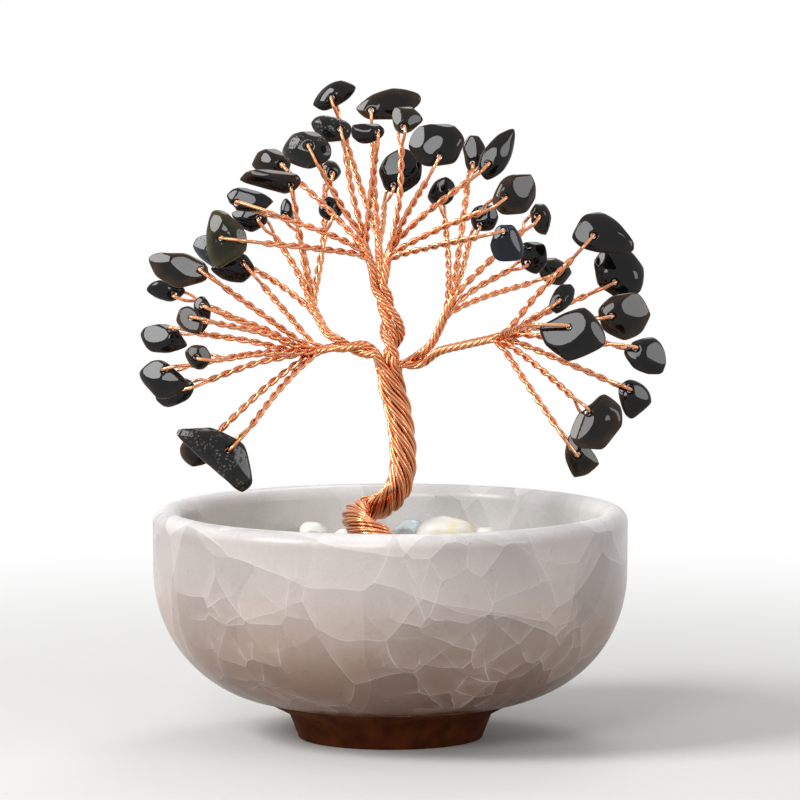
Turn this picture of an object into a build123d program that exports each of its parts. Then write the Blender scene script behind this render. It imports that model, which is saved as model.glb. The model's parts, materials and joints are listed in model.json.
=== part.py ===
from build123d import *
import math
import os
from dataclasses import dataclass

# Gemstone tree: obsidian chips on copper wires, twisted into a tree that stands in a glazed bowl.
# Millimetres. The origin is the centre of the foot's resting plane, +X is to the viewer's right,
# +Y points away from the viewer and +Z is up.

# Bowl, a revolved wall of even thickness on a bare clay foot ring
BOWL_DIAMETER = 68.0
BOWL_HEIGHT = 33.0
BOWL_WALL = 4.0
BELLY_RADIUS = 18.7
BELLY_TOP = 24.0
FOOT_HEIGHT = 5.6
FOOT_TOP_DIAMETER = 31.0
FOOT_DIAMETER = 26.6
FOOT_RING_WIDTH = 3.4
FOOT_RECESS = 2.4
BELLY_STEPS = 5
INSIDE_STEPS = 2
LIP_STEPS = 4

# Bed, raised in the middle where the coil lies on it, and gravel
BED_DROP = 7.7
BED_GAP = 0.05
MOUND_HEIGHT = 1.6
MOUND_RADIUS = 15.5
MOUND_FOOT_RADIUS = 19.5
GRAVEL_LENGTH = 4.4
GRAVEL_WIDTH = 3.4
GRAVEL_HEIGHT = 2.4
GRAVEL_TAPER = 15.0
GRAVEL_SEAT = 0.05
GRAVEL_MARGIN = 0.3
GRAVEL_COUNT = 88
GRAVEL_SIDES = 6

# Wire: one wire per chip, bent double, and the bundles that the doubled wires form
WIRE_DIAMETER = 0.45
WIRE_SIDES = 4
PAIR_GAP = 0.06
BUNDLE_DIAMETER = 1.14
BUNDLE_SIDES = 6
BUNDLE_GAP = 0.14
TRUNK_PITCH = 18.4
TRUNK_STEPS_PER_TURN = 10
FORK_STEPS = 7
CROWN_STEPS = 9
TWIG_STEP = 0.7
FAN_LENGTH = 4.2
TWIG_SIDE = 0.5
TWIG_GAP = 0.05

# Wire eye and drilled hole
HOLE_DIAMETER = 1.15
EYE_CLEARANCE = 0.28
EYE_NECK = 0.9
EYE_CORNER = 0.35
EYE_EDGE = 0.15

# Chips
CHIP_THICKNESS = 2.8
CHIP_EDGE_SHARE = 0.22
CHIP_SWING = 12.0
SWING_SPARE = 4.0
SWING_STEPS = 6

# The tree's spread between its outermost chips, and how the reference view sees it.
# Places on the tree are read in the view as pixels across and down, with a share of the depth.
TREE_SPREAD = 77.0
TREE_DEPTH = 42.0
SPREAD_PX = 539.0
FOCAL_PX = 6188.0
VIEW_CENTRE_PX = 400.0
BOWL_AXIS_PX = 390.5
RIM_PX = 508.5
VIEW_TILT = 5.5

MM_PER_PX = TREE_SPREAD / SPREAD_PX
VIEW_DISTANCE = FOCAL_PX * MM_PER_PX
TILT_COS = math.cos(math.radians(VIEW_TILT))
TILT_SIN = math.sin(math.radians(VIEW_TILT))
AIM = Vector(
    (VIEW_CENTRE_PX - BOWL_AXIS_PX) * MM_PER_PX,
    0,
    BOWL_HEIGHT + (RIM_PX - VIEW_CENTRE_PX) * MM_PER_PX,
)
EYE = AIM + Vector(0, -TILT_COS, TILT_SIN) * VIEW_DISTANCE

BED_TOP = BOWL_HEIGHT - BED_DROP
MOUND_TOP = BED_TOP + MOUND_HEIGHT
WIRE_RADIUS = WIRE_DIAMETER / 2
PAIR_OFFSET = WIRE_RADIUS + PAIR_GAP / 2
BUNDLE_SPACING = BUNDLE_DIAMETER + BUNDLE_GAP
TRUNK_LAY = math.atan(2 * math.pi * BUNDLE_SPACING / TRUNK_PITCH)
TRUNK_RING = BUNDLE_SPACING / 2 * math.sqrt(1 + 3 / math.cos(TRUNK_LAY) ** 2)
CROWN_RING = BUNDLE_SPACING / math.sqrt(3)


def sight(across: float, down: float) -> Vector:
    """Direction of the line of sight through one pixel of the reference view."""
    right = (across - VIEW_CENTRE_PX) / FOCAL_PX
    rise = (VIEW_CENTRE_PX - down) / FOCAL_PX
    return Vector(right, TILT_COS + rise * TILT_SIN, rise * TILT_COS - TILT_SIN)


def place(across: float, down: float, depth_share: float) -> Vector:
    """The point that the view shows at a pixel, at a depth (Y) given as a share of the tree's."""
    ray = sight(across, down)
    return EYE + ray * ((TREE_DEPTH * depth_share - EYE.Y) / ray.Y)


# The trunk's middle line from its first fork down to the end of the coil on the bed
TRUNK_ROUTE = [
    (389, 366, 0),
    (392, 387, 0),
    (399, 415, 0),
    (403, 450, 0),
    (402, 474, 0),
    (397, 490, 0.005),
    (387, 502, 0.04),
    (374, 508, 0.083),
    (361, 511, 0.075),
    (355, 518, -0.015),
    (361, 527.5, -0.11),
    (377, 535, -0.147),
    (392, 539, -0.125),
]

# Middle lines of the two forks and of the crown, from the trunk's top to where their bundles part
LEFT_ROUTE = [(376, 354, -0.029), (363, 349, -0.029), (348, 347, -0.026), (335, 343, -0.022)]
RIGHT_ROUTE = [(405, 364, 0.037), (414, 362, 0.044), (424, 357, 0.037)]
CROWN_ROUTE = [(391, 355, 0), (393, 342, 0), (391, 322, 0), (385, 302, 0), (380, 287, 0)]

# Each bundle's place on the trunk's ring at the fork, and its own route from there to its fan
BUNDLE_ANGLES = {
    "left_lower": 180,
    "left_upper": 240,
    "crown_right": 300,
    "right_lower": 0,
    "right_upper": 60,
    "crown_left": 120,
    "crown_rear": None,
}
FAN_ROUTES = {
    "left_lower": [(325, 349, -0.029), (313, 352, -0.029), (300, 353, -0.029)],
    "left_upper": [(327, 333, -0.018), (320, 321, -0.011), (312, 305, -0.007), (309, 294, 0)],
    "crown_left": [(372, 268, -0.022), (367, 252, -0.029), (364, 238, -0.029)],
    "crown_rear": [(380, 268, 0.048), (379, 252, 0.073), (378, 238, 0.092)],
    "crown_right": [(386, 270, -0.011), (388, 255, -0.007), (393, 242, 0)],
    "right_upper": [(432, 343, 0.029), (440, 327, 0.018), (447, 311, 0.007), (453, 297, 0)],
    "right_lower": [(440, 351, 0.015), (464, 345, 0), (490, 339, -0.011), (512, 333, -0.018)],
}


@dataclass
class Chip:
    """A chip as the view shows it, and how its flat face stands.

    outline and hole are pixels and depth_share is the face's depth at the hole. turn and tip aim
    the face's normal to the right and up, in degrees. thick_share is of the usual thickness.
    """

    name: str
    branch: str
    depth_share: float
    turn: float
    tip: float
    thick_share: float
    hole: tuple
    outline: list

    @property
    def normal(self) -> Vector:
        """Unit normal of the face that looks towards the viewer."""
        turn = math.radians(self.turn)
        tip = math.radians(self.tip)
        return Vector(
            math.sin(turn) * math.cos(tip), -math.cos(turn) * math.cos(tip), math.sin(tip)
        )

    @property
    def thickness(self) -> float:
        """Distance between the two flat faces."""
        return CHIP_THICKNESS * self.thick_share

    @property
    def mouth(self) -> Vector:
        """Middle of the drilled hole on the front face."""
        return place(*self.hole, self.depth_share)

    @property
    def middle(self) -> Vector:
        """Middle of the drilled hole, halfway through the chip."""
        return self.mouth - self.normal * (self.thickness / 2)

    def corners(self) -> list:
        """The outline's corners on the front face, where their lines of sight meet it."""
        rays = [sight(*pixel) for pixel in self.outline]
        away = (self.mouth - EYE).dot(self.normal)
        return [EYE + ray * (away / ray.dot(self.normal)) for ray in rays]

    def reach(self, towards: Vector) -> float:
        """How far the outline comes from the hole in a direction, anywhere in the chip's swing."""
        side = self.normal.cross(towards)
        arms = [corner - self.mouth for corner in self.corners()]
        flat = [(arm.dot(towards), arm.dot(side)) for arm in arms]
        widest = math.radians(CHIP_SWING + SWING_SPARE)
        steps = range(-SWING_STEPS, SWING_STEPS + 1)
        return max(edge_distance(flat, widest * step / SWING_STEPS) for step in steps)


def edge_distance(flat: list, angle: float) -> float:
    """Distance from the origin to a flat closed outline, along a direction at an angle."""
    right, up = math.cos(angle), math.sin(angle)
    far = 0.0
    for (ax, ay), (bx, by) in zip(flat, flat[1:] + flat[:1]):
        slant = right * (by - ay) - up * (bx - ax)
        if slant == 0:
            continue
        out = (ax * (by - ay) - ay * (bx - ax)) / slant
        along = (ax * up - ay * right) / slant
        if out > 0 and 0 <= along <= 1:
            far = max(far, out)
    return far


CHIPS = [
    Chip("left_lower_1", "left_lower", -0.4, 14, 10, 1.0, (229, 450),
         [(177, 434), (187, 423), (212, 427), (247, 441), (255, 482), (244, 492)]),
    Chip("left_lower_2", "left_lower", -0.175, -8, -6, 0.8, (199, 448),
         [(174, 453), (183, 440), (208, 438), (218, 452), (208, 467), (190, 469)]),
    Chip("left_lower_3", "left_lower", -0.025, -14, -12, 0.9, (182, 389),
         [(145, 400), (154, 385), (185, 380), (194, 388), (188, 401), (162, 415)]),
    Chip("left_lower_4", "left_lower", -0.225, -18, 10, 1.0, (162, 370),
         [(133, 374), (142, 358), (160, 358), (186, 381), (178, 395), (154, 398)]),
    Chip("left_lower_5", "left_lower", -0.4, 10, -8, 0.9, (197, 358),
         [(184, 354), (193, 346), (207, 347), (214, 362), (205, 374), (191, 370)]),
    Chip("left_lower_6", "left_lower", -0.1, -12, 16, 1.1, (169, 328),
         [(137, 331), (147, 321), (171, 322), (187, 342), (171, 353), (148, 350)]),
    Chip("left_lower_7", "left_lower", -0.325, -6, 12, 0.9, (190, 317),
         [(173, 321), (178, 306), (191, 304), (203, 320), (200, 336), (184, 330)]),
    Chip("left_lower_8", "left_lower", -0.2, 8, 0, 0.9, (203, 306),
         [(194, 302), (203, 294), (213, 306), (211, 326), (202, 338), (195, 322)]),
    Chip("left_lower_9", "left_lower", 0.125, -10, -10, 0.9, (173, 295),
         [(141, 290), (158, 280), (180, 284), (186, 295), (170, 305), (154, 302)]),
    Chip("left_lower_10", "left_lower", -0.15, -10, 8, 1.1, (199, 269),
         [(146, 256), (160, 252), (186, 253), (206, 263), (207, 280), (176, 288), (155, 277)]),
    Chip("left_lower_11", "left_lower", 0.025, 12, -8, 1.0, (244, 264),
         [(211, 270), (230, 258), (247, 254), (258, 270), (247, 285), (224, 282)]),
    Chip("left_upper_1", "left_upper", 0.175, -14, 0, 0.9, (215, 250),
         [(187, 243), (198, 233), (218, 236), (226, 254), (214, 271), (197, 258)]),
    Chip("left_upper_2", "left_upper", 0.075, -6, -12, 0.9, (258, 219),
         [(229, 214), (246, 209), (266, 212), (268, 226), (252, 236), (235, 229)]),
    Chip("left_upper_3", "left_upper", 0.275, -20, 0, 0.8, (284, 215),
         [(277, 205), (283, 196), (290, 205), (291, 218), (284, 227), (278, 219)]),
    Chip("left_upper_4", "left_upper", -0.075, 0, -16, 0.8, (291, 187),
         [(237, 184), (250, 170), (277, 173), (301, 177), (303, 187), (286, 198), (262, 191)]),
    Chip("left_upper_5", "left_upper", 0.16, 10, 0, 0.9, (333, 214),
         [(317, 206), (330, 195), (345, 203), (345, 216), (333, 223), (321, 218)]),
    Chip("left_upper_6", "left_upper", 0.4, 16, 8, 0.9, (333, 173),
         [(321, 170), (329, 157), (340, 160), (345, 173), (336, 183), (325, 180)]),
    Chip("crown_left_1", "crown_left", -0.25, -8, 6, 1.1, (220, 238),
         [(203, 237), (209, 209), (222, 210), (246, 233), (246, 251), (215, 269), (205, 256)]),
    Chip("crown_left_2", "crown_left", -0.175, -4, 14, 0.9, (236, 202),
         [(221, 193), (230, 185), (256, 188), (275, 199), (262, 210), (236, 210)]),
    Chip("crown_left_3", "crown_left", 0.1, -12, 14, 1.0, (281, 164),
         [(246, 163), (258, 146), (274, 145), (290, 158), (286, 173), (258, 174)]),
    Chip("crown_left_4", "crown_left", -0.15, -10, 10, 1.1, (308, 145),
         [(278, 151), (291, 132), (310, 127), (330, 143), (332, 156), (308, 168), (287, 162)]),
    Chip("crown_left_5", "crown_left", -0.05, 0, 18, 0.9, (340, 128),
         [(308, 122), (318, 113), (338, 114), (353, 124), (350, 138), (324, 141)]),
    Chip("crown_left_6", "crown_left", -0.275, 6, -8, 0.9, (378, 133),
         [(350, 144), (354, 122), (370, 120), (388, 131), (382, 141), (366, 147)]),
    Chip("crown_rear_1", "crown_rear", 0.175, -10, 12, 1.0, (331, 97),
         [(308, 104), (320, 84), (340, 78), (358, 85), (344, 100), (322, 112)]),
    Chip("crown_rear_2", "crown_rear", 0.1, 0, 8, 0.9, (371, 110),
         [(353, 107), (372, 94), (396, 85), (424, 90), (420, 105), (396, 120), (366, 119)]),
    Chip("crown_rear_3", "crown_rear", 0.25, 8, -6, 1.0, (394, 186),
         [(379, 174), (388, 156), (404, 150), (422, 160), (422, 184), (406, 197), (386, 193)]),
    Chip("crown_right_1", "crown_right", -0.05, 14, 10, 0.9, (404, 126),
         [(392, 112), (398, 98), (412, 104), (428, 119), (412, 133), (397, 132)]),
    Chip("crown_right_2", "crown_right", -0.225, 4, 10, 1.1, (440, 156),
         [(409, 148), (415, 127), (434, 118), (456, 123), (466, 140), (456, 163), (424, 166)]),
    Chip("crown_right_3", "crown_right", -0.1, 16, 6, 1.0, (489, 163),
         [(480, 168), (484, 153), (500, 134), (516, 127), (519, 146), (505, 173), (489, 181)]),
    Chip("crown_right_4", "crown_right", -0.22, 18, 0, 1.0, (506, 197),
         [(494, 203), (502, 182), (528, 168), (540, 178), (540, 200), (526, 215), (503, 216)]),
    Chip("crown_right_5", "crown_right", -0.325, 6, 6, 0.9, (504, 231),
         [(490, 243), (497, 225), (512, 221), (526, 238), (524, 259), (507, 266), (494, 258)]),
    Chip("right_upper_1", "right_upper", 0.15, 6, 0, 0.9, (473, 164),
         [(463, 150), (468, 134), (482, 136), (491, 152), (484, 170), (468, 174)]),
    Chip("right_upper_2", "right_upper", 0.275, -8, -6, 0.9, (440, 202),
         [(424, 199), (432, 183), (445, 177), (457, 187), (452, 204), (434, 210)]),
    Chip("right_upper_3", "right_upper", 0.175, 6, -8, 0.9, (480, 226),
         [(469, 216), (478, 203), (494, 203), (500, 220), (494, 234), (474, 233)]),
    Chip("right_upper_4", "right_upper", -0.025, 24, 0, 0.8, (539, 216),
         [(533, 212), (541, 198), (551, 202), (555, 218), (550, 240), (537, 232)]),
    Chip("right_upper_5", "right_upper", 0.09, 4, -10, 0.9, (528, 264),
         [(518, 250), (530, 240), (547, 246), (548, 266), (537, 278), (523, 271)]),
    Chip("right_upper_6", "right_upper", 0.26, 20, 10, 0.9, (556, 274),
         [(538, 258), (546, 247), (563, 256), (577, 272), (566, 286), (545, 281)]),
    Chip("right_lower_1", "right_lower", -0.025, 8, 14, 1.0, (594, 235),
         [(570, 236), (583, 214), (604, 208), (622, 224), (640, 243), (628, 255), (586, 248)]),
    Chip("right_lower_2", "right_lower", 0.125, 12, 8, 1.1, (616, 282),
         [(596, 262), (606, 247), (632, 251), (647, 268), (642, 293), (622, 299), (600, 285)]),
    Chip("right_lower_3", "right_lower", -0.025, 14, 4, 1.1, (613, 316),
         [(600, 310), (614, 296), (640, 292), (655, 312), (646, 333), (626, 341), (606, 331)]),
    Chip("right_lower_4", "right_lower", -0.1, 20, 16, 0.8, (560, 300),
         [(549, 306), (558, 287), (572, 275), (580, 285), (574, 304), (560, 315)]),
    Chip("right_lower_5", "right_lower", -0.35, 2, 12, 1.1, (569, 326),
         [(540, 325), (558, 315), (584, 305), (600, 322), (609, 344), (568, 360), (545, 346)]),
    Chip("right_lower_6", "right_lower", -0.2, 14, 10, 1.0, (637, 348),
         [(625, 350), (638, 339), (656, 334), (668, 350), (671, 369), (655, 378), (634, 368)]),
    Chip("right_lower_7", "right_lower", -0.06, 16, 4, 0.9, (631, 390),
         [(620, 387), (631, 378), (653, 387), (655, 402), (631, 423), (624, 408)]),
    Chip("right_lower_8", "right_lower", -0.325, 10, 14, 1.1, (589, 412),
         [(571, 431), (579, 413), (604, 392), (622, 402), (624, 424), (605, 448), (581, 449)]),
    Chip("right_lower_9", "right_lower", -0.15, 4, -10, 0.8, (578, 456),
         [(565, 462), (567, 437), (575, 428), (602, 464), (596, 476), (573, 481)]),
]


def frames(line: list, first_side: Vector) -> list:
    """A side and an across direction at each point of a line, carried along it without twist."""
    made = []
    side = first_side
    for index in range(len(line)):
        before = line[max(index - 1, 0)]
        after = line[min(index + 1, len(line) - 1)]
        along = (after - before).normalized()
        side = (side - along * side.dot(along)).normalized()
        made.append((side, side.cross(along)))
    return made


def wind(line: list, first_side: Vector, radii: list, angles: list) -> list:
    """Points beside a line, each at its radius and angle round it."""
    made = []
    for point, (side, across), radius, angle in zip(line, frames(line, first_side), radii, angles):
        turn = math.radians(angle)
        made.append(point + (side * math.cos(turn) + across * math.sin(turn)) * radius)
    return made


def trunk_line() -> list:
    """Evenly spaced points of the trunk's middle line, from the fork down to the coil's end."""
    length = Spline(*[place(*spot) for spot in TRUNK_ROUTE]).length
    return even_line(TRUNK_ROUTE, round(length / TRUNK_PITCH * TRUNK_STEPS_PER_TURN))


def trunk_stretch(name: str, line: list) -> list:
    """One bundle's points along the trunk, from the coil's end up to the fork."""
    angle = BUNDLE_ANGLES[name]
    if angle is None:
        return line[::-1]
    step = 360 / TRUNK_STEPS_PER_TURN
    ring = TRUNK_RING / math.cos(math.radians(step / 2))
    angles = [angle + step * index for index in range(len(line))]
    return wind(line, Vector(1, 0, 0), [ring] * len(line), angles)[::-1]


# Turns, in degrees, of each fork's two bundles about each other and of the crown's three
LEFT_TURN = 270
RIGHT_TURN = -90
CROWN_TURN = -315

# How the crown's bundles close up, over the share of their rise that each change starts and ends at
REAR_OUT_SHARES = (0.15, 0.5)
SIDES_IN_SHARES = (0.3, 0.7)
CROWN_CLOSING = 30
REAR_ANGLE = 30


def even_line(route: list, steps: int) -> list:
    """Evenly spaced points of a smooth line through view places."""
    line = Spline(*[place(*spot) for spot in route])
    return [line.position_at(step / steps) for step in range(steps + 1)]


def ramp(share: float, between: tuple) -> float:
    """0 before a span, 1 after it and rising evenly over it."""
    start, end = between
    return min(max((share - start) / (end - start), 0), 1)


def fork_stretch(route: list, first_angle: float, turn: float) -> list:
    """One of two bundles that wind about each other along a fork."""
    line = even_line(route, FORK_STEPS)
    step = turn / FORK_STEPS
    radius = BUNDLE_SPACING / 2 / math.cos(math.radians(step / 2))
    angles = [first_angle + step * index for index in range(len(line))]
    return wind(line, Vector(0, -1, 0), [radius] * len(line), angles)


def crown_stretch(name: str) -> list:
    """One of the crown's three bundles, which close up from a row into a triangle as they rise."""
    line = even_line(CROWN_ROUTE, CROWN_STEPS)
    radii, angles = [], []
    for index in range(len(line)):
        share = index / CROWN_STEPS
        closed = ramp(share, SIDES_IN_SHARES)
        turn = CROWN_TURN * share
        side_radius = TRUNK_RING + (CROWN_RING - TRUNK_RING) * closed
        if name == "crown_rear":
            radii.append(CROWN_RING * ramp(share, REAR_OUT_SHARES))
            angles.append(REAR_ANGLE + turn)
        elif name == "crown_left":
            radii.append(side_radius)
            angles.append(BUNDLE_ANGLES[name] + CROWN_CLOSING * closed + turn)
        else:
            radii.append(side_radius)
            angles.append(BUNDLE_ANGLES[name] - CROWN_CLOSING * closed + turn)
    return wind(line, Vector(1, 0, 0), radii, [-angle for angle in angles])


def middle_stretch(name: str) -> list:
    """A bundle's points between the trunk's fork and where it parts from its neighbours."""
    if name == "left_upper":
        return fork_stretch(LEFT_ROUTE, 0, LEFT_TURN)
    if name == "left_lower":
        return fork_stretch(LEFT_ROUTE, 180, LEFT_TURN)
    if name == "right_lower":
        return fork_stretch(RIGHT_ROUTE, 0, RIGHT_TURN)
    if name == "right_upper":
        return fork_stretch(RIGHT_ROUTE, 180, RIGHT_TURN)
    return crown_stretch(name)


def bundle_line(name: str, trunk: list) -> list:
    """All the points of one bundle, from the coil's end to its fan."""
    fan = [place(*spot) for spot in FAN_ROUTES[name]]
    return trunk_stretch(name, trunk) + middle_stretch(name) + fan


def rod(line: list, radius: float, sides: int) -> Solid:
    """A many-sided rod with mitred bends along a line of points."""
    section = Plane(line[0], z_dir=line[1] - line[0]) * RegularPolygon(radius, sides)
    return sweep(section, path=Polyline(*line), transition=Transition.RIGHT).solid()


def back_along(line: list, distance: float) -> tuple:
    """The point a distance back from the end of a line, and the line's direction there."""
    for start, end in zip(line[-2::-1], line[:0:-1]):
        run = end - start
        if distance <= run.length:
            return end - run.normalized() * distance, run.normalized()
        distance -= run.length
    return line[0], (line[1] - line[0]).normalized()


def stem_start(stem: Vector, along: Vector, back: float) -> Vector:
    """From a point on a bundle's middle line to where a wire that leaves it there is clear of it."""
    sideways = stem - along * stem.dot(along)
    clear = BUNDLE_DIAMETER / 2 + PAIR_OFFSET + WIRE_RADIUS
    through_side = clear / sideways.length
    if stem.dot(along) * through_side <= back:
        return stem * through_side
    past_end = back + TWIG_GAP + PAIR_OFFSET * sideways.length
    slant = past_end * sideways.length / max(stem.dot(along), sideways.length)
    return along * past_end + sideways.normalized() * max(slant, TWIG_SIDE if back else 0)


def twig_line(chip: Chip, bundle: list, back: float) -> list:
    """One wire: out from the bundle, over the chip, through its hole and back the same way."""
    root, along = back_along(bundle, back)
    normal, middle = chip.normal, chip.middle
    towards = root - middle
    towards = (towards - normal * towards.dot(normal)).normalized()
    lift = chip.thickness / 2 + EYE_CLEARANCE + WIRE_RADIUS
    edge = chip.reach(towards) + EYE_EDGE
    neck = middle + towards * (edge + max(EYE_NECK, lift - PAIR_OFFSET))
    stem = (neck - root).normalized()
    start = root + stem_start(stem, along, back)
    apart = (normal - stem * normal.dot(stem)).normalized() * PAIR_OFFSET
    over = [
        middle + towards * edge + normal * lift,
        middle + towards * EYE_CORNER + normal * lift,
        middle + normal * (lift - EYE_CORNER),
    ]
    under = [point - normal * (2 * normal.dot(point - middle)) for point in reversed(over)]
    return [start + apart, neck + apart] + over + under + [neck - apart, start - apart]


def leaving_order(chips: list, bundle: list) -> list:
    """The chips of a branch, with those that stand furthest off its direction first."""
    tip, along = back_along(bundle, 0)
    return sorted(chips, key=lambda chip: (chip.middle - tip).normalized().dot(along))


def twigs(name: str, bundle: list) -> list:
    """The wires that fan out of a bundle, one for each of its chips."""
    chips = leaving_order([chip for chip in CHIPS if chip.branch == name], bundle)
    step = min(TWIG_STEP, FAN_LENGTH / (len(chips) - 1))
    return [
        rod(twig_line(chip, bundle, step * index), WIRE_RADIUS, WIRE_SIDES)
        for index, chip in enumerate(reversed(chips))
    ]


def chip_solid(chip: Chip) -> Solid:
    """A flat chip with worn edges and a drilled hole."""
    face = Face(Wire.make_polygon(chip.corners()))
    slab = extrude(face, amount=chip.thickness, dir=-chip.normal)
    rims = [edge for edge in slab.edges() if abs(edge.tangent_at(0.5).dot(chip.normal)) < 0.5]
    slab = chamfer(rims, chip.thickness * CHIP_EDGE_SHARE)
    hole = Plane(chip.middle, z_dir=chip.normal) * Cylinder(HOLE_DIAMETER / 2, 2 * chip.thickness)
    return (slab - hole).solid()


def arc(centre: tuple, radius: float, start: float, end: float, steps: int) -> list:
    """Points of an arc in the bowl's section, from a start to an end angle in degrees."""
    turns = [math.radians(start + (end - start) * step / steps) for step in range(steps + 1)]
    return [
        (centre[0] + radius * math.cos(turn), centre[1] + radius * math.sin(turn)) for turn in turns
    ]


def turned(section: list) -> Solid:
    """A solid turned about the bowl's axis from the corners of its half section."""
    return revolve(Plane.XZ * make_face(Polyline(*section, close=True)), Axis.Z).solid()


def bowl() -> Solid:
    """The glazed bowl with its rounded lip, foot ring and recessed underside."""
    rim = BOWL_DIAMETER / 2
    belly = (rim - BELLY_RADIUS, BELLY_TOP)
    lip = (rim - BOWL_WALL / 2, BOWL_HEIGHT - BOWL_WALL / 2)
    low = math.degrees(math.asin((FOOT_HEIGHT - BELLY_TOP) / BELLY_RADIUS))
    ring = FOOT_DIAMETER / 2 - FOOT_RING_WIDTH
    section = [
        (0, FOOT_RECESS), (ring, FOOT_RECESS), (ring, 0), (FOOT_DIAMETER / 2, 0),
        (FOOT_TOP_DIAMETER / 2, FOOT_HEIGHT),
    ]
    section += arc(belly, BELLY_RADIUS, low, 0, BELLY_STEPS)
    section += arc(lip, BOWL_WALL / 2, 0, 180, LIP_STEPS)
    section += arc(belly, BELLY_RADIUS - BOWL_WALL, 0, -90, INSIDE_STEPS)
    section.append((0, BELLY_TOP - BELLY_RADIUS + BOWL_WALL))
    return turned(section)


def bedding() -> Solid:
    """The cast bed that fills the bowl, a hair inside its wall and raised in the middle."""
    belly = (BOWL_DIAMETER / 2 - BELLY_RADIUS, BELLY_TOP)
    inside = BELLY_RADIUS - BOWL_WALL - BED_GAP
    section = [
        (0, BELLY_TOP - inside), (0, MOUND_TOP), (MOUND_RADIUS, MOUND_TOP),
        (MOUND_FOOT_RADIUS, BED_TOP), (belly[0] + inside, BED_TOP),
    ]
    return turned(section + arc(belly, inside, 0, -90, INSIDE_STEPS))


GOLDEN_ANGLE = 180 * (3 - math.sqrt(5))
GRAVEL_SIZE_SHARES = [1.0, 0.82, 1.1, 0.9, 0.74]


# Stones on the raised middle: their places as shares of its radius, size shares and kinds
MOUND_STONE_SHARES = [
    (0.51, 0.17, 1.7, "white"),
    (0.86, 0.24, 1.1, "white"),
    (0.24, -0.06, 0.85, "clear"),
    (0.1, 0.53, 0.9, "clear"),
    (-0.29, 0.58, 0.8, "white"),
    (0.44, 0.56, 1.0, "clear"),
    (0.49, -0.23, 1.0, "white"),
    (0.36, -0.57, 0.9, "clear"),
    (0.78, -0.14, 0.8, "clear"),
    (-0.72, 0.13, 0.95, "clear"),
    (-0.71, -0.26, 1.0, "white"),
    (-0.03, -0.72, 1.0, "white"),
    (-0.42, -0.65, 0.9, "clear"),
]


def stone(index: int, share: float, spot: Vector) -> Solid:
    """One flat-bottomed stone of the gravel, narrower towards its top."""
    turns = [math.radians(360 * step / GRAVEL_SIDES) for step in range(GRAVEL_SIDES)]
    corners = [
        (GRAVEL_LENGTH / 2 * share * math.cos(turn), GRAVEL_WIDTH / 2 * share * math.sin(turn))
        for turn in turns
    ]
    base = Pos(spot) * Rot(0, 0, GOLDEN_ANGLE * index * 2) * Polygon(*corners, align=None)
    return extrude(base, GRAVEL_HEIGHT * share, taper=GRAVEL_TAPER).solid()


def gravel() -> dict:
    """The stones of each kind: those on the raised middle and a spiral of them on the bed round it."""
    made = {"white": [], "clear": []}
    for index, (across, away, share, kind) in enumerate(MOUND_STONE_SHARES):
        spot = Vector(across * MOUND_RADIUS, away * MOUND_RADIUS, MOUND_TOP + GRAVEL_SEAT)
        made[kind].append(stone(index, share, spot))
    half_length = GRAVEL_LENGTH / 2 * max(GRAVEL_SIZE_SHARES) + GRAVEL_MARGIN
    reach = BOWL_DIAMETER / 2 - BOWL_WALL - half_length
    for index in range(GRAVEL_COUNT):
        out = reach * math.sqrt((index + 0.5) / GRAVEL_COUNT)
        turn = math.radians(GOLDEN_ANGLE * index)
        spot = Vector(out * math.cos(turn), out * math.sin(turn), BED_TOP + GRAVEL_SEAT)
        share = GRAVEL_SIZE_SHARES[index % len(GRAVEL_SIZE_SHARES)]
        if out > MOUND_FOOT_RADIUS + half_length:
            made["white" if index % 3 else "clear"].append(stone(index, share, spot))
    return made


TWIG_GROUPS = {
    "left_twigs": ["left_lower", "left_upper"],
    "crown_twigs": ["crown_left", "crown_rear", "crown_right"],
    "right_twigs": ["right_upper", "right_lower"],
}


def main() -> None:
    """Write every piece of the ornament to its own file."""
    os.makedirs("parts", exist_ok=True)
    trunk = trunk_line()
    bundles = {name: bundle_line(name, trunk) for name in BUNDLE_ANGLES}
    pieces = {"bowl": bowl(), "bedding": bedding()}
    for kind, stones in gravel().items():
        pieces[f"{kind}_gravel"] = Compound(children=stones)
    for name, line in bundles.items():
        pieces[f"{name}_bundle"] = rod(line, BUNDLE_DIAMETER / 2, BUNDLE_SIDES)
    for group, names in TWIG_GROUPS.items():
        wires = [wire for name in names for wire in twigs(name, bundles[name])]
        pieces[group] = Compound(children=wires)
    for chip in CHIPS:
        pieces[f"chip_{chip.name}"] = chip_solid(chip)
    for name, piece in pieces.items():
        export_step(piece, f"parts/{name}.step")


if __name__ == "__main__":
    main()
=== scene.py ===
"""Gemstone tree: obsidian chips on twisted copper wire, standing in a crackle-glazed bowl."""
import json
import logging
import math
import random
from dataclasses import dataclass, field
from enum import Enum
from typing import Any, Iterable, Optional, Sequence, Union

import bmesh
import bpy
from mathutils import Matrix, Vector, noise
from mathutils.bvhtree import BVHTree
from mathutils.geometry import interpolate_bezier


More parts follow.
